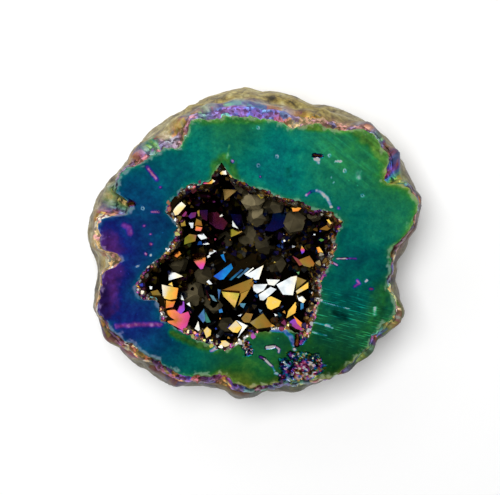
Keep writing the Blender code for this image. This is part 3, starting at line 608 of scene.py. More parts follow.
# Cracks darken the ground; the brightness also carries the rind's painted shade, darker away from the lamps
shade = node(tree, "Math", {"operation": "MULTIPLY"}, i0=tone, i1=open_ground)
cracked_and_shaded = node(tree, "VectorMath", {"operation": "SCALE"}, i0=mixed.outputs[2], Scale=shade)
tree.links.new(cracked_and_shaded.outputs[0], shader.inputs["Base Color"])
shader.inputs["Metallic"].default_value = 0.1
shader.inputs["Roughness"].default_value = 0.5

for finish in (polish, chipped, rind):
    mesh.materials.append(finish)
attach(stone, "root")
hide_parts("agate_shell")


# The quartz: crystals that grew into the hollow from a thin layer on its wall, sawn off where they reached
# the cut. The same coat makes each face a mirror of its own hue; where it is thin, the smoky body of the
# quartz shows.
CLEARANCE = 0.35  # between the crust and the stone
LINING = 1.0  # thickness of the layer under the crystals
FACE_SLOPE = math.radians(51.8)  # from the crystal's axis to the normal of a point face
DEEPEST_POINTS = 10.8  # how far under the cut the points stand in the middle of the hollow
CRYSTAL_PLANES = 14  # six point faces, six prism faces, the cut and the root
CAMERA_TILT = 8.0
FACE_DISTANCE = 284.0  # from the camera to the cut face
PICTURE_MIDDLE = np.array([-0.53, -0.78, HEIGHT - WAIST_DROP])  # the place that the camera looks at
GLINT_AZIMUTH = 108  # a face that leans this way mirrors the main soft box to the camera
GLINT_TILT = 26
SEED = 7  # of all that is scattered at random
chance = random.Random(SEED)


def lean(azimuth, angle):
    """Unit vector that leans from upright by an angle, towards an azimuth, both in degrees."""
    a, t = math.radians(azimuth), math.radians(angle)
    return np.array([math.sin(t) * math.cos(a), math.sin(t) * math.sin(a), math.cos(t)])


# Crystal faces as seen from the camera: how the face meets the light, its film, how the film changes per mm
# and towards which azimuth, its cover of coat, and its corners in mm from the middle of the picture
FACETS = [
    ("lit", 0.03, 0.1, 200, 1, [(-5.3, 12.9), (-4.9, 13.8), (-4.0, 14.0), (-3.4, 13.0), (-4.0, 12.4),
        (-4.9, 12.4)]),
    ("lit", 0.19, -0.12, 0, 1, [(-8.8, 11.2), (-7.4, 12.1), (-5.9, 11.3), (-6.6, 10.8), (-7.8, 10.8)]),
    ("half", 0.1, 0, 0, 0.6, [(-4.6, 9.9), (-2.1, 9.8), (-4.3, 8.0)]),
    ("lit", 0.045, 0.03, 300, 1, [(-13.3, 5.9), (-12.5, 7.3), (-11.9, 8.0), (-10.9, 7.1), (-12.2, 5.6),
        (-12.9, 5.4)]),
    ("half", 0.26, 0.04, 300, 1, [(-12.2, 5.6), (-11.4, 6.7), (-10.7, 5.9), (-11.1, 5.3), (-11.7, 5.2)]),
    ("fill", 0.3, 0.03, 200, 1, [(-10.5, 5.3), (-10.0, 5.9), (-9.1, 6.0), (-9.3, 5.2), (-10.1, 4.9)]),
    ("half", 0.09, 0, 0, 1, [(-9.0, 6.3), (-8.6, 6.4), (-8.6, 5.3), (-8.9, 5.4)]),
    ("dim", 0.30, 0.06, 60, 1, [(-8.6, 6.3), (-7.2, 6.4), (-7.3, 4.5), (-8.1, 4.9)]),
    ("dim", 0.25, 0.02, 200, 1, [(-7.2, 5.9), (-5.5, 6.0), (-3.8, 4.2), (-4.5, 3.0), (-5.7, 3.2),
        (-6.9, 4.2)]),
    ("lit", 0.04, 0, 0, 1, [(-5.2, 5.3), (-4.8, 5.7), (-4.6, 5.4), (-5.0, 5.2)]),
    ("fill", 0.12, 0.03, 280, 1, [(-9.1, 4.9), (-8.3, 4.5), (-8.1, 3.6), (-8.7, 3.7), (-9.4, 3.7)]),
    ("lit", 0.17, 0.07, 280, 1, [(-9.7, 3.2), (-9.1, 3.6), (-8.1, 3.4), (-8.4, 2.8), (-9.3, 2.9)]),
    ("lit", 0.01, 0.02, 0, 1, [(-10.4, 4.2), (-9.6, 4.2), (-9.7, 3.3), (-10.0, 3.3)]),
    ("half", 0.92, 0, 0, 1, [(-11.8, 4.5), (-11.1, 4.6), (-10.9, 3.7), (-11.7, 3.6)]),
    ("fill", 0.9, 0.05, 30, 1, [(-11.2, 0.5), (-11.1, 1.6), (-10.3, 2.3), (-9.1, 2.1), (-9.3, 1.1)]),
    ("lit", 0, 0.02, 0, 0.9, [(-9.0, 2.1), (-8.0, 2.5), (-7.3, 1.6), (-8.3, 1.3)]),
    ("half", 0.47, 0, 0, 1, [(-9.3, 0.9), (-8.3, 1.1), (-8.1, 0.5), (-9.3, 0.4)]),
    ("lit", 0.01, 0.02, 0, 1, [(-8.1, 0.5), (-7.6, 1.1), (-6.9, 0.6), (-7.2, 0.5)]),
    ("lit", 0.01, 0, 0, 1, [(-7.0, -0.5), (-6.7, -0.2), (-5.7, -0.6), (-6.9, -1.3)]),
    ("lit", 0.03, 0, 0, 1, [(-7.4, -1.5), (-6.9, -1.2), (-6.7, -1.5), (-7.2, -1.8)]),
    ("lit", 0.185, 0.06, 275, 1, [(-9.8, -1.2), (-9.1, -0.9), (-7.7, -0.9), (-7.5, -1.2), (-7.6, -2.6),
        (-8.0, -3.6), (-8.4, -3.7), (-9.1, -2.9), (-9.6, -2.2)]),
    ("lit", 0.17, 0.02, 200, 1, [(-13.1, -1.2), (-12.1, -0.5), (-11.7, -1.1), (-12.4, -1.7),
        (-12.9, -1.4)]),
    ("lit", 0.49, 0.02, 60, 1, [(-5.0, -1.3), (-4.5, -1.1), (-4.1, -2.5), (-4.6, -2.0)]),
    ("lit", 0.8, 0, 0, 1, [(-15.7, -2.6), (-15.3, -2.4), (-15.1, -2.7), (-15.5, -2.9)]),
    ("half", 0.89, 0.02, 0, 1, [(-3.9, 2.9), (-2.6, 3.2), (-1.9, 3.2), (-1.3, 2.7), (-2.2, 2.2),
        (-3.2, 1.8)]),
    ("lit", 0, 0, 0, 0.8, [(-3.0, 4.6), (-2.0, 3.2), (-3.0, 3.6)]),
    ("dark", 0.4, 0, 0, 1, [(-3.3, 5.7), (-1.5, 5.6), (-1.1, 3.3), (-1.9, 3.3), (-2.9, 4.6)]),
    ("lit", 0.13, 0.05, 300, 1, [(7.3, 6.1), (7.0, 7.0), (7.9, 7.4), (8.7, 7.3), (9.1, 7.0), (8.2, 6.2)]),
    ("dim", 0.42, 0.02, 90, 1, [(3.9, 5.8), (6.2, 6.1), (6.7, 4.9), (5.7, 3.5), (3.9, 2.7), (2.4, 2.9),
        (3.6, 4.4)]),
    ("fill", 0.9, 0, 0, 1, [(1.2, 9.0), (1.8, 9.0), (2.3, 8.5), (1.9, 8.2)]),
    ("lit", 0.08, 0, 0, 1, [(13.0, 4.7), (13.4, 4.8), (13.9, 4.1), (13.6, 3.9)]),
    ("fill", 0.14, 0, 0, 1, [(11.8, 3.1), (13.0, 3.8), (14.0, 3.4), (13.1, 2.9)]),
    ("half", 0.75, 0, 0, 1, [(11.7, 1.3), (12.1, 1.5), (12.7, 1.3), (12.1, 1.0)]),
    ("lit", 0.26, 0.26, 270, 1, [(8.8, 0.3), (9.3, -0.4), (9.2, -0.8), (8.8, -1.1), (8.6, -0.4)]),
    ("lit", 0.12, 0.12, 200, 1, [(11.3, -0.0), (11.8, 0.1), (12.4, -0.8), (12.1, -1.6), (11.6, -0.9)]),
    ("fill", 0.11, 0.03, 60, 0.9, [(8.3, -2.1), (10.1, -1.4), (11.0, -2.7), (10.6, -3.5), (9.1, -3.1)]),
    ("fill", 0.2, 0.05, 60, 1, [(7.2, -1.4), (8.3, -2.0), (9.0, -2.9), (8.4, -3.1)]),
    ("lit", 0.01, 0.02, 0, 1, [(-14.0, -4.0), (-13.5, -3.9), (-11.4, -4.9), (-13.8, -5.6)]),
    ("lit", 0.085, 0.035, 350, 1, [(-15.0, -6.3), (-14.2, -6.5), (-12.2, -6.9), (-12.5, -8.7),
        (-13.6, -8.9), (-14.8, -8.6)]),
    ("lit", 0.07, 0, 0, 1, [(-13.9, -6.3), (-13.3, -5.9), (-13.1, -6.6)]),
    ("lit", 0.155, 0.04, 300, 1, [(-14.9, -8.7), (-12.5, -8.7), (-13.1, -10.1), (-14.2, -10.3),
        (-14.8, -10.6), (-15.0, -9.6)]),
    ("lit", 0.295, 0.03, 350, 1, [(-13.1, -10.0), (-11.9, -8.9), (-11.2, -9.2), (-11.1, -10.6),
        (-11.7, -11.3), (-12.8, -10.6)]),
    ("lit", 0.2, 0.03, 340, 1, [(-14.5, -10.9), (-13.2, -10.3), (-11.8, -11.3), (-10.5, -10.9),
        (-10.2, -11.7), (-10.7, -13.3), (-11.4, -14.1), (-12.5, -13.5), (-13.9, -12.8), (-14.3, -12.0)]),
    ("lit", 0.01, 0.02, 0, 1, [(-12.1, -8.7), (-11.7, -7.8), (-11.2, -9.0)]),
    ("lit", 0.01, 0.02, 0, 1, [(-10.8, -9.6), (-10.3, -9.3), (-10.1, -10.1)]),
    ("lit", 0.01, 0.02, 0, 1, [(-7.4, -5.8), (-7.0, -5.5), (-6.4, -6.2), (-6.9, -6.3)]),
    ("lit", 0.475, 0.018, 30, 1, [(-6.2, -4.9), (-4.6, -3.7), (-3.2, -2.7), (-2.9, -3.5), (-4.5, -5.4),
        (-5.2, -5.5)]),
    ("half", 0.5, 0, 0, 0.9, [(-3.6, -5.5), (-1.5, -3.7), (-1.1, -3.8), (-3.2, -5.6)]),
    ("lit", 0.53, 0, 0, 0.6, [(-2.3, -5.1), (-0.4, -3.4), (-0.1, -3.6), (-1.9, -5.2)]),
    ("lit", 0.01, 0.02, 0, 1, [(-1.0, -4.5), (0.5, -3.4), (0.7, -3.5), (-0.7, -4.7)]),
    ("lit", 0.01, 0.02, 0, 1, [(-0.8, -4.7), (2.3, -3.0), (1.5, -5.4), (0.9, -5.5)]),
    ("half", 0.45, 0, 0, 1, [(-0.8, -4.9), (0.8, -5.6), (1.4, -5.5), (1.0, -6.0)]),
    ("fill", 0.105, 0.01, 180, 1, [(-4.9, -7.3), (0.5, -5.2), (0.0, -7.1), (-1.6, -7.8)]),
    ("lit", 0.9, 0.03, 250, 0.75, [(-4.8, -7.5), (-1.8, -7.8), (-2.6, -10.2), (-4.5, -8.3)]),
    ("half", 0.09, 0, 0, 1, [(-1.5, -7.8), (-0.1, -7.2), (-0.7, -8.3), (-2.3, -10.2)]),
    ("fill", 0.13, 0, 0, 1, [(-0.1, -6.2), (0.6, -5.7), (0.5, -6.9)]),
    ("lit", 0, 0, 0, 0.9, [(0.5, -6.3), (3.0, -6.2), (2.3, -7.3), (1.2, -7.8), (0.6, -7.3)]),
    ("lit", 0, 0, 0, 0.9, [(1.5, -8.0), (3.5, -6.7), (4.5, -7.1), (3.4, -8.1), (2.3, -9.0), (1.7, -8.9)]),
    ("lit", 0, 0, 0, 0.8, [(2.8, -5.4), (5.1, -5.5), (4.1, -6.5), (3.1, -6.3)]),
    ("lit", 0.01, 0.02, 0, 1, [(4.5, -6.3), (7.0, -5.0), (8.0, -4.8), (7.3, -8.1), (5.6, -8.0)]),
    ("lit", 0.08, 0, 0, 1, [(7.8, -7.4), (9.9, -5.9), (9.9, -6.9), (8.0, -7.9)]),
    ("fill", 0.91, 0, 0, 0.6, [(8.0, -5.0), (9.6, -5.6), (7.8, -7.2)]),
    ("lit", 0.075, 0, 0, 1, [(2.7, -9.5), (3.0, -8.5), (3.6, -8.3), (5.3, -9.1), (4.9, -10.0),
        (3.6, -10.6), (3.0, -10.3)]),
    ("lit", 0.09, 0.02, 300, 1, [(6.5, -10.8), (7.7, -9.3), (8.0, -9.5), (7.7, -11.1), (6.2, -12.0)]),
    ("lit", 0.02, 0.06, 320, 1, [(8.0, -8.2), (8.7, -8.1), (9.5, -8.9), (9.1, -9.5), (8.3, -9.0)]),
    ("lit", 0.52, 0, 0, 0.8, [(8.6, -9.5), (9.1, -9.4), (9.1, -10.3), (8.6, -10.6)]),
    ("lit", 0.29, -0.03, 340, 1, [(6.4, -12.8), (7.5, -12.1), (9.2, -13.4), (9.1, -14.2), (7.8, -13.8)]),
    ("lit", 0.15, 0, 0, 1, [(7.4, -11.6), (8.0, -12.1), (9.4, -13.3), (9.2, -14.0), (8.0, -12.9)]),
    ("lit", 0.07, 0, 0, 1, [(-3.7, -13.7), (-2.4, -12.4), (-1.5, -12.8), (-1.3, -13.5), (-2.1, -14.5),
        (-2.9, -14.4)]),
    ("lit", 0.01, 0.02, 0, 1, [(-2.4, -12.3), (-0.4, -13.3), (-1.6, -14.7), (-2.1, -15.4), (-1.3, -13.5)]),
    ("lit", 0.5, 0.04, 30, 0.7, [(-8.8, -11.7), (-7.8, -10.4), (-7.6, -12.4), (-8.0, -12.8)]),
    ("fill", 0.6, 0, 0, 0.6, [(-7.6, -10.9), (-6.7, -12.7), (-7.3, -12.8), (-7.7, -12.4)]),
    ("lit", 0.03, 0, 0, 1, [(-9.4, -13.8), (-8.8, -12.5), (-8.5, -14.0), (-8.8, -14.2)]),
    ("lit", 0.08, 0, 0, 1, [(-7.9, -14.1), (-7.3, -13.5), (-6.6, -14.1), (-6.7, -14.9), (-7.4, -15.4)]),
    ("lit", 0.07, 0, 0, 1, [(-5.5, -15.9), (-4.2, -15.8), (-3.2, -16.5), (-4.2, -16.9), (-5.2, -16.6)]),
    ("half", 0.11, 0, 0, 0.8, [(-1.5, -12.1), (-0.7, -11.1), (0.5, -11.3), (-0.1, -12.8), (-1.0, -12.7)]),
    ("fill", 0.1, 0.02, 0, 1, [(-0.0, -12.8), (2.2, -11.2), (3.9, -13.4), (2.8, -13.6), (1.2, -13.8)]),
    ("lit", 0.13, 0, 0, 1, [(2.4, -12.7), (2.7, -12.5), (4.2, -13.3), (3.7, -13.5)]),
    ("fill", 0.1, 0, 0, 1, [(-16.9, -7.5), (-15.7, -7.2), (-15.0, -8.3), (-16.5, -8.3)]),
    ("lit", 0.01, 0.02, 0, 1, [(-17.1, -6.6), (-16.6, -6.6), (-16.7, -7.1), (-17.0, -7.1)]),
    ("lit", 0.55, 0, 0, 0.5, [(-17.3, -8.2), (-16.0, -8.5), (-15.7, -8.9), (-17.0, -8.5)]),
    ("lit", 0.54, 0, 0, 0.5, [(-6.9, -8.0), (-6.2, -8.2), (-5.6, -9.2), (-6.3, -9.0)]),
    ("lit", 0.5, 0, 0, 0.7, [(-5.5, -7.1), (-5.0, -7.2), (-5.2, -8.3), (-5.3, -8.9)]),
    ("lit", 0.48, 0, 0, 0.9, [(-5.3, -10.6), (-4.8, -10.4), (-4.6, -11.0), (-5.2, -11.1)]),
    ("lit", 0.53, 0, 0, 0.6, [(-1.8, -9.5), (-0.7, -9.5), (-1.1, -10.3), (-1.6, -10.0)]),
    ("lit", 0.01, 0.02, 0, 1, [(-2.1, -11.6), (-1.4, -11.3), (-1.6, -11.7)]),
    ("lit", 0.53, 0, 0, 0.5, [(1.4, -10.4), (2.1, -10.7), (1.7, -11.1)]),
    ("lit", 0.01, 0.02, 0, 1, [(4.1, -11.2), (4.7, -11.5), (4.3, -11.7)]),
    ("lit", 0.03, 0, 0, 1, [(10.4, -7.7), (10.8, -7.3), (10.6, -8.1)]),
    ("lit", 0.7, 0, 0, 0.5, [(7.9, -4.2), (8.4, -4.1), (8.3, -4.6)]),
    ("lit", 0.01, 0.02, 0, 1, [(5.6, 2.5), (5.8, 2.5), (5.8, 2.2), (5.6, 2.2)]),
    ("lit", 0.01, 0.02, 0, 1, [(5.7, 1.3), (6.0, 1.3), (6.0, 1.0), (5.7, 1.0)]),
    ("lit", 0.01, 0.02, 0, 1, [(10.8, 2.3), (11.1, 2.3), (11.1, 2.1), (10.8, 2.1)]),
]

# Which way the faces of each kind look: azimuth and its spread, tilt from upright and its spread. The lit and
# half lit ones mirror the soft box, the fill ones the scrim, the dim ones its edge, and the dark ones nothing
FACE_LOOKS = {
    "lit": (GLINT_AZIMUTH, 9, GLINT_TILT, 3),
    "half": (GLINT_AZIMUTH, 12, GLINT_TILT, 4),
    "fill": (270, 60, 3, 2),
    "dark": (270, 80, 38, 6),
    "dim": (90, 60, 16.5, 1.5),
}

# Films of the small crystals about the hollow: x, y, reach in mm, films to choose from, and cover of coat
DRUSE = [
    (-4, 11, 4, (0.1, 0.85, 0.9, 0.4), 0.95),
    (-10, 6, 4, (0.24, 0.28, 0.32, 0.1, 0.18), 0.95),
    (-12, 0, 4, (0.9, 0.86, 0.1, 0.05), 0.9),
    (-17, -5, 4, (0.9, 0.88, 0.12, 0.3), 0.9),
    (-13, -10, 4, (0.2, 0.24, 0.16, 0.3, 0.1), 0.95),
    (-7, -10, 4, (0.44, 0.48, 0.4, 0.9, 0.0), 0.95),
    (-2, -12, 4, (0.44, 0.08, 0.5, 0.12, 0.0), 0.95),
    (6, -10, 4, (0.08, 0.16, 0.24, 0.48), 0.9),
    (0, 0, 6, (0.9, 0.42, 0.1, 0.0), 0.8),
    (2, 6, 5, (0.42, 0.9, 0.4, 0.1), 0.85),
    (9, 2, 4, (0.42, 0.46, 0.1, 0.14, 0.3), 0.9),
]


def wall_point(azimuth, share, inset, depth):
    """Point of the hollow's wall at a share of this depth, drawn in by inset."""
    lip = around(MOUTH, azimuth) + UNDERCUT - inset
    return hollow_ring(np.array([azimuth]), lip, share, depth)[0]


def depth_in_wall(point):
    """How far a point is past the surface that crystals grow from: under 0 in the open hollow."""
    inset = CLEARANCE + LINING
    whole = HOLLOW_DEPTH - inset
    share = (HEIGHT - point[2]) / whole
    if share >= 1:
        return (share - 1) * whole
    share = max(0.0, share)
    middle = share * np.array(HOLLOW_FLOOR)
    x, y = point[:2] - middle
    wall = wall_point(math.degrees(math.atan2(y, x)), share, inset, whole)[:2] - middle
    return math.hypot(x, y) - math.hypot(*wall)


def points_under(x, y):
    """How far under the cut the crystals' points stand, above a place in the hollow."""
    share = math.hypot(x, y) / float(around(MOUTH, math.degrees(math.atan2(y, x))))
    return max(0.35, DEEPEST_POINTS * (1 - share**1.15))


TRIPLES = np.array(list(itertools.combinations(range(CRYSTAL_PLANES), 3)))


def crystal(tip, axis, side, radius, rooted):
    """Corners of one quartz crystal, and its faces as lists of corners. The first face is a point face."""
    across = side - axis * side.dot(axis)
    across /= np.linalg.norm(across)
    other = np.cross(axis, across)
    normals, distances = [], []
    for i in range(6):
        a = i * math.pi / 3
        out = across * math.cos(a) + other * math.sin(a)
        tilt = out * math.sin(FACE_SLOPE) + axis * math.cos(FACE_SLOPE)
        further = 0.16 * radius * (i % 2) * chance.uniform(0.6, 1.4) * math.cos(FACE_SLOPE)
        normals += [tilt, out]
        distances += [tilt.dot(tip) + further]
        distances += [out.dot(tip) + radius * math.cos(math.pi / 6) * chance.uniform(0.9, 1.0)]
    # The saw cut everything off at the polished face
    normals += [np.array([0.0, 0.0, 1.0]), -axis]
    distances += [HEIGHT - chance.uniform(0.0, 0.12), -axis.dot(tip) + rooted]
    normals, distances = np.array(normals), np.array(distances)
    three = normals[TRIPLES]
    solid = np.abs(np.linalg.det(three)) > 1e-5
    corners = np.linalg.solve(three[solid], distances[TRIPLES[solid]][:, :, None])[:, :, 0]
    corners = corners[(corners @ normals.T <= distances + 1e-5).all(axis=1)]
    if len(corners) < 4:
        return [], []
    corners = np.unique(np.round(corners, 4), axis=0)
    faces = []
    for normal, distance in zip(normals, distances):
        on = np.flatnonzero(np.abs(corners @ normal - distance) < 1e-3)
        if len(on) < 3:
            continue
        centre = corners[on].mean(axis=0)
        e1 = corners[on[0]] - centre
        e1 /= np.linalg.norm(e1)
        e2 = np.cross(normal, e1)
        turn = np.arctan2((corners[on] - centre) @ e2, (corners[on] - centre) @ e1)
        faces.append(on[np.argsort(turn)])
    return corners, faces


crust_points, crust_faces, crust_films, crust_covers, crust_tones = [], [], [], [], []


def grow(corners, faces, films, cover, tone):
    """Adds a solid's faces to the crust. films gives the film at a face's corner; the others go by face."""
    start = len(crust_points)
    crust_points.extend(corners)
    for number, face in enumerate(faces):
        crust_faces.append([start + i for i in face])
        crust_films.extend(films(number, corners[i]) for i in face)
        crust_covers.append(cover(number))
        crust_tones.append(tone(number))


def picture_ray(seen_x, seen_y):
    """Where the camera stands, and the way from there to the cut face through a place in the picture."""
    away = lean(90, CAMERA_TILT)
    upward = np.array([0.0, math.cos(math.radians(CAMERA_TILT)), -math.sin(math.radians(CAMERA_TILT))])
    eye = PICTURE_MIDDLE + away * (FACE_DISTANCE + WAIST_DROP)
    return eye, np.array([seen_x, 0.0, 0.0]) + upward * seen_y - away * FACE_DISTANCE


large_faces = []  # middle and reach of each
for kind, film, change, towards, cover, outline in FACETS:
    azimuth, spread, tilt, tilt_spread = FACE_LOOKS[kind]
    normal = lean(azimuth + chance.uniform(-spread, spread), tilt + chance.uniform(-tilt_spread, tilt_spread))
    middle = np.mean(outline, axis=0)
    eye, way = picture_ray(*middle)
    under = 4.0
    for _ in range(3):
        centre = eye + way * ((eye[2] - HEIGHT + under) / -way[2])
        under = points_under(centre[0], centre[1])
    centre = eye + way * ((eye[2] - HEIGHT + under + chance.uniform(-0.3, 0.5)) / -way[2])
    upper = []
    for seen_x, seen_y in outline:
        eye, way = picture_ray(seen_x, seen_y)
        upper.append(eye + way * ((centre - eye).dot(normal) / way.dot(normal)))
    upper = np.array(upper)
    upper[:, 2] -= max(0.0, upper[:, 2].max() - HEIGHT + 0.02)
    turned = np.cross(upper - upper.mean(axis=0), np.roll(upper, -1, axis=0) - upper.mean(axis=0)).sum(axis=0)
    if turned.dot(normal) < 0:
        upper = upper[::-1]
    large_faces.append((upper.mean(axis=0), np.linalg.norm(upper - upper.mean(axis=0), axis=1).max()))
    growth = normal * 0.35 + np.array([0, 0, 1.0])
    growth /= np.linalg.norm(growth)
    length = 1.0
    while length < 7 and depth_in_wall(upper.mean(axis=0) - growth * length) < 0.5:
        length += 0.4
    lower = upper.mean(axis=0) - growth * length + (upper - upper.mean(axis=0)) * 1.12
    count = len(upper)
    faces = [list(range(count)), list(range(2 * count - 1, count - 1, -1))]
    faces += [[i, count + i, count + (i + 1) % count, (i + 1) % count] for i in range(count)]
    run = lean(towards, 90)
    own = [chance.choice((0.9, 0.42, 0.12, 0.3, film)) for _ in faces]
    # Painted shade: a half lit face is painted at 0.45 of full brightness, and the sides under each face at
    # 0.25
    grow(np.vstack([upper, lower]), faces,
         lambda number, corner: film + change * (corner - centre).dot(run) if number == 0 else own[number],
         lambda number: cover if number == 0 else 0.95,
         lambda number: (0.45 if kind == "half" else 1.0) if number == 0 else 0.25)

# Large smoky crystals with little coat: x, y, radius, azimuth and angle of the lean, depth under the others,
# and brightness
SMOKY = [
    (0.4, 7.4, 2.3, 300, 20, 0.6, 1.7), (-2.0, 9.4, 1.6, 250, 25, 1.6, 0.5),
    (0.0, 4.6, 2.1, 200, 15, 0.9, 1.3), (7.2, 5.2, 2.4, 80, 18, 0.8, 1.0), (4.6, 7.4, 1.5, 20, 20, 1.6, 0.6),
    (10.2, 5.2, 1.6, 230, 25, 1.2, 0.7), (-1.2, 1.2, 2.4, 150, 12, 0.9, 0.6),
    (2.7, -0.6, 2.3, 330, 16, 1.1, 0.3), (4.0, -3.1, 1.8, 100, 20, 1.2, 0.4),
    (-4.6, 1.0, 1.6, 60, 20, 1.8, 0.35), (-9.6, -8.2, 2.4, 20, 22, 0.7, 0.8),
    (-12.4, -3.6, 1.8, 330, 20, 1.2, 0.5), (-9.0, -4.8, 1.8, 120, 20, 1.0, 0.6),
    (-5.9, -10.9, 1.4, 340, 25, 1.2, 0.6), (-4.3, -13.2, 1.5, 60, 20, 1.2, 0.4),
]
for x, y, radius, towards, angle, below, light in SMOKY:
    tip = np.array([x, y, HEIGHT - points_under(x, y) - below])
    corners, faces = crystal(tip, lean(towards, angle), lean(chance.uniform(0, 360), 90), radius, 5.0)
    bright = [light * chance.uniform(0.4, 1.3) for _ in range(CRYSTAL_PLANES)]
    grow(corners, faces, lambda number, corner: 0.1, lambda number: 0.02, lambda number: bright[number])


def druse_at(x, y):
    """The films and cover of the druse's patch about a place."""
    weights = [math.exp(-((x - px) ** 2 + (y - py) ** 2) / (2 * reach**2)) for px, py, reach, _, _ in DRUSE]
    return chance.choices(DRUSE, [w + 1e-6 for w in weights])[0][3:]


def hides_face(x, y, share):
    """Whether a crystal here would stand over a large face or in its light."""
    to_light = lean(GLINT_AZIMUTH, 90).round(2)
    for middle, reach in large_faces:
        if math.hypot(x - middle[0], y - middle[1]) < share * reach:
            return True
        before = middle + to_light * reach
        if math.hypot(x - before[0], y - before[1]) < 0.8 * share * reach:
            return True
    return False


def facing(normal):
    """Axis and side of a crystal whose first point face looks this way."""
    sideways = np.cross(normal, lean(chance.uniform(0, 360), 60))
    sideways *= math.copysign(1 / np.linalg.norm(sideways), sideways[2])
    return normal * math.cos(FACE_SLOPE) + sideways * math.sin(FACE_SLOPE), normal


def glint():
    """Normal of a face that mirrors the main soft box, more or less."""
    return lean(GLINT_AZIMUTH + chance.uniform(-14, 14), GLINT_TILT + chance.uniform(-5, 5))


# Smaller crystals fill the hollow, a little lower than the large faces. Some of them catch the light
SPACING = 1.0
CATCHING = 0.2  # share of them that is turned to the light
for i in range(-21, 16):
    for j in range(-20, 20):
        x = (i + 0.5 * (j % 2) + chance.uniform(-0.35, 0.35)) * SPACING
        y = (j + chance.uniform(-0.35, 0.35)) * SPACING * 0.87
        azimuth = math.degrees(math.atan2(y, x))
        share = math.hypot(x, y) / float(around(MOUTH, azimuth))
        in_smoky = any(math.hypot(x - row[0], y - row[1]) < 0.85 * row[2] for row in SMOKY)
        if share > 1.02 or hides_face(x, y, 0.75) or in_smoky and chance.random() < 0.85:
            continue
        tip = np.array([x, y, HEIGHT - points_under(x, y) - chance.uniform(0.4, 2.0)])
        axis = lean(azimuth + 180 + chance.uniform(-50, 50), 45 * min(share, 1) + chance.uniform(-20, 20))
        side = lean(chance.uniform(0, 360), 90)
        radius = chance.uniform(0.45, 1.0) * (1.2 - 0.5 * share)
        if chance.random() < CATCHING:
            axis, side = facing(glint())
            radius *= chance.uniform(0.4, 0.8)
        patch, cover = druse_at(x, y)
        own = [chance.choice(patch) + chance.uniform(-0.03, 0.03) for _ in range(CRYSTAL_PLANES)]
        strength = min(1.0, cover * chance.uniform(0.8, 1.3))
        corners, faces = crystal(tip, axis, side, radius, 4.5 - 2.5 * min(share, 1))
        # Painted shade: the faces are painted dark, as in the hollow's shade, the first point face less so
        bright = [chance.uniform(0.02, 0.3) for _ in range(CRYSTAL_PLANES)]
        bright[0] = chance.uniform(0.1, 1.0)
        grow(corners, faces, lambda number, corner: own[number], lambda number: strength,
             lambda number: bright[number])

# Grains of quartz along the mouth, sawn and rounded by the polishing cloth, painted lighter below, darker
# above
RIM_GRAINS = 1500
GOLDEN_ANGLE = 137.508  # from each grain to the next, which spreads them evenly
for i in range(RIM_GRAINS):
    azimuth = (i * GOLDEN_ANGLE) % 360
    width = float(around(RIM, azimuth))
    out = chance.uniform(-0.8, width + 0.35)
    radius = float(around(MOUTH, azimuth)) + out
    a = math.radians(azimuth)
    catching = 0.16 - 0.24 * math.sin(a + 0.5) if out > -0.4 else 0.05
    if hides_face(radius * math.cos(a), radius * math.sin(a), 0.85):
        continue
    axis = lean(azimuth + 180 + chance.uniform(-60, 60), chance.uniform(5, 60))
    side = lean(chance.uniform(0, 360), 90)
    if chance.random() < catching:
        axis, side = facing(glint())
    tip = np.array([radius * math.cos(a), radius * math.sin(a), HEIGHT + chance.uniform(-0.5, 0.12)])
    tip[2] += 1.1 * min(out, 0.0)
    if out > 0.1:
        pick = chance.choice((0.0, 0.03, 0.98, 0.27, 0.05, 0.3, 0.1, 0.02))
    else:
        pick = chance.choice((0.08, 0.12, 0.16, 0.25, 0.4, 0.05, 0.03))
    own = [pick + chance.uniform(-0.04, 0.04) for _ in range(CRYSTAL_PLANES)]
    strength = chance.uniform(0.6, 1.0)
    # Painted light and shade: lighter towards the bottom, darker at the top and inside the mouth
    if out > -0.1:
        bright = chance.uniform(0.5, 2.2) * (0.9 - 0.45 * math.sin(a + 0.3))
        size = chance.uniform(0.2, 0.6)
    else:
        bright = chance.uniform(0.05, 0.45)
        size = chance.uniform(0.35, 0.8)
    corners, faces = crystal(tip, axis, side, size, 1.0)
    grow(corners, faces, lambda number, corner: own[number], lambda number: strength, lambda number: bright)

# The layer under the crystals, closed all round, painted almost black as painted shade of the deep hollow
layer_angles = spoke_angles(180)
whole = HOLLOW_DEPTH - CLEARANCE - LINING
layer_rings = []
back = around(MOUTH, layer_angles) + 0.7
for share in (0.97, 0.85, 0.6, 0.3, 0.06):
    layer_rings.append(hollow_ring(layer_angles, back, share, HOLLOW_DEPTH - CLEARANCE))
front = around(MOUTH, layer_angles) + UNDERCUT - CLEARANCE - LINING
for share in (0.06, 0.09, 0.16, 0.3, 0.45, 0.6, 0.75, 0.86, 0.94):
    layer_rings.append(hollow_ring(layer_angles, front, share, whole))
layer_counts = [len(layer_angles)] * len(layer_rings)
total_count = sum(layer_counts)
faces = [list(face)[::-1] for face in ring_faces(layer_counts)]
for i in range(len(layer_angles)):
    j = (i + 1) % len(layer_angles)
    faces.append([total_count, j, i])
    faces.append([total_count + 1, total_count - len(layer_angles) + i, total_count - len(layer_angles) + j])
floors = [[*HOLLOW_FLOOR, HEIGHT - HOLLOW_DEPTH + CLEARANCE], [*HOLLOW_FLOOR, HEIGHT - whole]]
grow(np.vstack([*layer_rings, floors]), faces, lambda number, corner: 0.1, lambda number: 0.9,
     lambda number: 0.03)

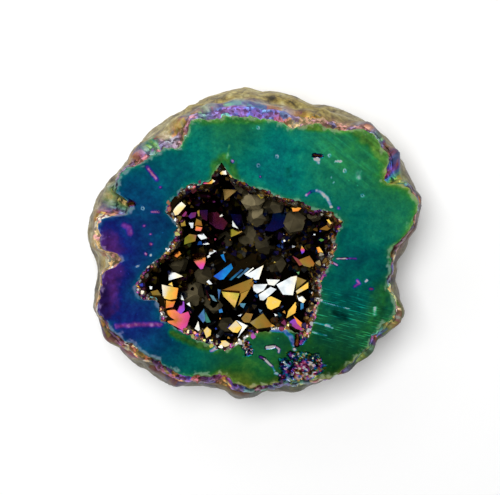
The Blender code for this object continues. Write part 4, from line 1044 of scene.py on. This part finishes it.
mesh = bpy.data.meshes.new("quartz_crystals")
mesh.from_pydata((np.array(crust_points) * MM).tolist(), [], crust_faces)
film_layer = mesh.attributes.new("film", "FLOAT", "CORNER")
film_layer.data.foreach_set("value", np.array(crust_films, np.float32))
for name, column in (("cover", crust_covers), ("tone", crust_tones)):
    layer = mesh.attributes.new(name, "FLOAT", "FACE")
    layer.data.foreach_set("value", np.array(column, np.float32))
crystals = bpy.data.objects.new("quartz_crystals", mesh)
bpy.context.scene.collection.objects.link(crystals)

# Coated smoky quartz, its faces as grown: clean mirrors in interference colours that drift a little over a
# face, going over to smoky glass where the coat is thin
DRIFT_SIZE = 1.6  # mm
coated, tree, shader = new_material("coated smoky quartz")
place = node(tree, "TexCoord").outputs["Object"]
film, tone, cover = [
    node(tree, "Attribute", {"attribute_name": name}) for name in ("film", "tone", "cover")
]
drift = node(tree, "TexNoise", Vector=place, Scale=1 / (DRIFT_SIZE * MM), Detail=2.0)
off = node(tree, "Math", {"operation": "SUBTRACT"}, i0=drift, i1=0.5)
film = node(tree, "Math", {"operation": "MULTIPLY_ADD"}, i0=off, i1=0.12, i2=film)
hue = node(tree, "ValToRGB", {"stops": FILM}, Fac=film)
mixed = node(tree, "Mix", {"data_type": "RGBA"}, Factor=cover, i6=linear("#6e664e"), i7=hue)
uneven = node(tree, "Math", {"operation": "MULTIPLY_ADD"}, i0=off, i1=1.2, i2=0.95)
shade = node(tree, "Math", {"operation": "MULTIPLY"}, i0=uneven, i1=tone)
coat = node(tree, "VectorMath", {"operation": "SCALE"}, i0=mixed.outputs[2], Scale=shade)
tree.links.new(coat.outputs[0], shader.inputs["Base Color"])
for name, change, least in (("Metallic", 0.8, 0.2), ("Roughness", -0.2, 0.3)):
    value = node(tree, "Math", {"operation": "MULTIPLY_ADD"}, i0=cover, i1=change, i2=least)
    tree.links.new(value.outputs[0], shader.inputs[name])
mesh.materials.append(coated)
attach(crystals, "root")
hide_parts("crystal_crust")


# The studio: a white floor, a lamp overhead for the short shadow, soft boxes that the crystal faces mirror,
# and a scrim behind the camera, which looks almost straight down at the cut face.
FIELD_WIDTH = 85.0  # across the picture, on the cut face
FLOOR_REACH = 1500

floor_mesh = bpy.data.meshes.new("floor")
corners = [(x * FLOOR_REACH * MM, y * FLOOR_REACH * MM, 0) for x, y in ((-1, -1), (1, -1), (1, 1), (-1, 1))]
floor_mesh.from_pydata(corners, [], [(0, 1, 2, 3)])
floor = bpy.data.objects.new("floor", floor_mesh)
bpy.context.scene.collection.objects.link(floor)

# White paper: matt, without a sheen, and lit up a little so that the picture's ground is white
white, tree, shader = new_material("matt white paper")
shader.inputs["Base Color"].default_value = linear("#f7f7f7")
shader.inputs["Roughness"].default_value = 0.9
shader.inputs["Specular IOR Level"].default_value = 0.0
shader.inputs["Emission Color"].default_value = linear("#ffffff")
shader.inputs["Emission Strength"].default_value = 0.04
floor_mesh.materials.append(white)


def soft_box(name, azimuth, elevation, distance, width, height, power):
    """Rectangular lamp aimed at the stone, from an azimuth and elevation in degrees, sizes in mm."""
    lamp = bpy.data.lights.new(name, "AREA")
    lamp.shape = "RECTANGLE"
    lamp.size, lamp.size_y = width * MM, height * MM
    lamp.energy = power
    made = bpy.data.objects.new(name, lamp)
    away = Vector(lean(azimuth, 90 - elevation))
    made.location = away * distance * MM + Vector((0, 0, HEIGHT * MM))
    made.rotation_euler = away.to_track_quat("Z", "Y").to_euler()
    bpy.context.scene.collection.objects.link(made)
    return made


# Azimuth, elevation, distance, width, height and watts
overhead = soft_box("overhead lamp", 113, 76, 600, 210, 210, 3.55)
overhead.visible_glossy = False  # it stands behind the scrim, so that no face mirrors it
soft_box("main soft box", 110, 45, 500, 300, 220, 0.26)
soft_box("side soft box", 200, 35, 500, 200, 200, 0.15)

# The scrim, a pale patch of the world that the polished face mirrors, faint light round the horizon, and dark
# between them
SCRIM_SPREAD = (0.80, 0.93)  # cosine of the angle from its middle, where it begins and where it is full
world = bpy.data.worlds.new("studio")
bpy.context.scene.world = world
world.use_nodes = True
tree = world.node_tree
sky = node(tree, "TexCoord").outputs["Generated"]
aim = node(tree, "VectorMath", {"operation": "DOT_PRODUCT"}, i0=sky, i1=tuple(lean(270, CAMERA_TILT)))
scrim = node(tree, "MapRange", i0=aim.outputs["Value"], i1=SCRIM_SPREAD[0], i2=SCRIM_SPREAD[1], i3=0.04,
             i4=0.42)
up = node(tree, "SeparateXYZ", i0=sky).outputs["Z"]
horizon = node(tree, "MapRange", i0=up, i1=0.0, i2=0.2, i3=0.4, i4=0.0)
glow = node(tree, "Math", {"operation": "ADD"}, i0=scrim, i1=horizon)
tree.links.new(glow.outputs[0], tree.nodes["Background"].inputs["Color"])
tree.nodes["Background"].inputs["Strength"].default_value = 1.0

camera = bpy.data.cameras.new("camera")
camera.sensor_width = 36
camera.lens = 36 * FACE_DISTANCE / FIELD_WIDTH
camera.clip_end = 10
eye = bpy.data.objects.new("camera", camera)
eye.location = Vector(picture_ray(0, 0)[0]) * MM
eye.rotation_euler = (-math.radians(CAMERA_TILT), 0, 0)
bpy.context.scene.collection.objects.link(eye)
bpy.context.scene.camera = eye
bpy.context.scene.view_settings.view_transform = "Standard"
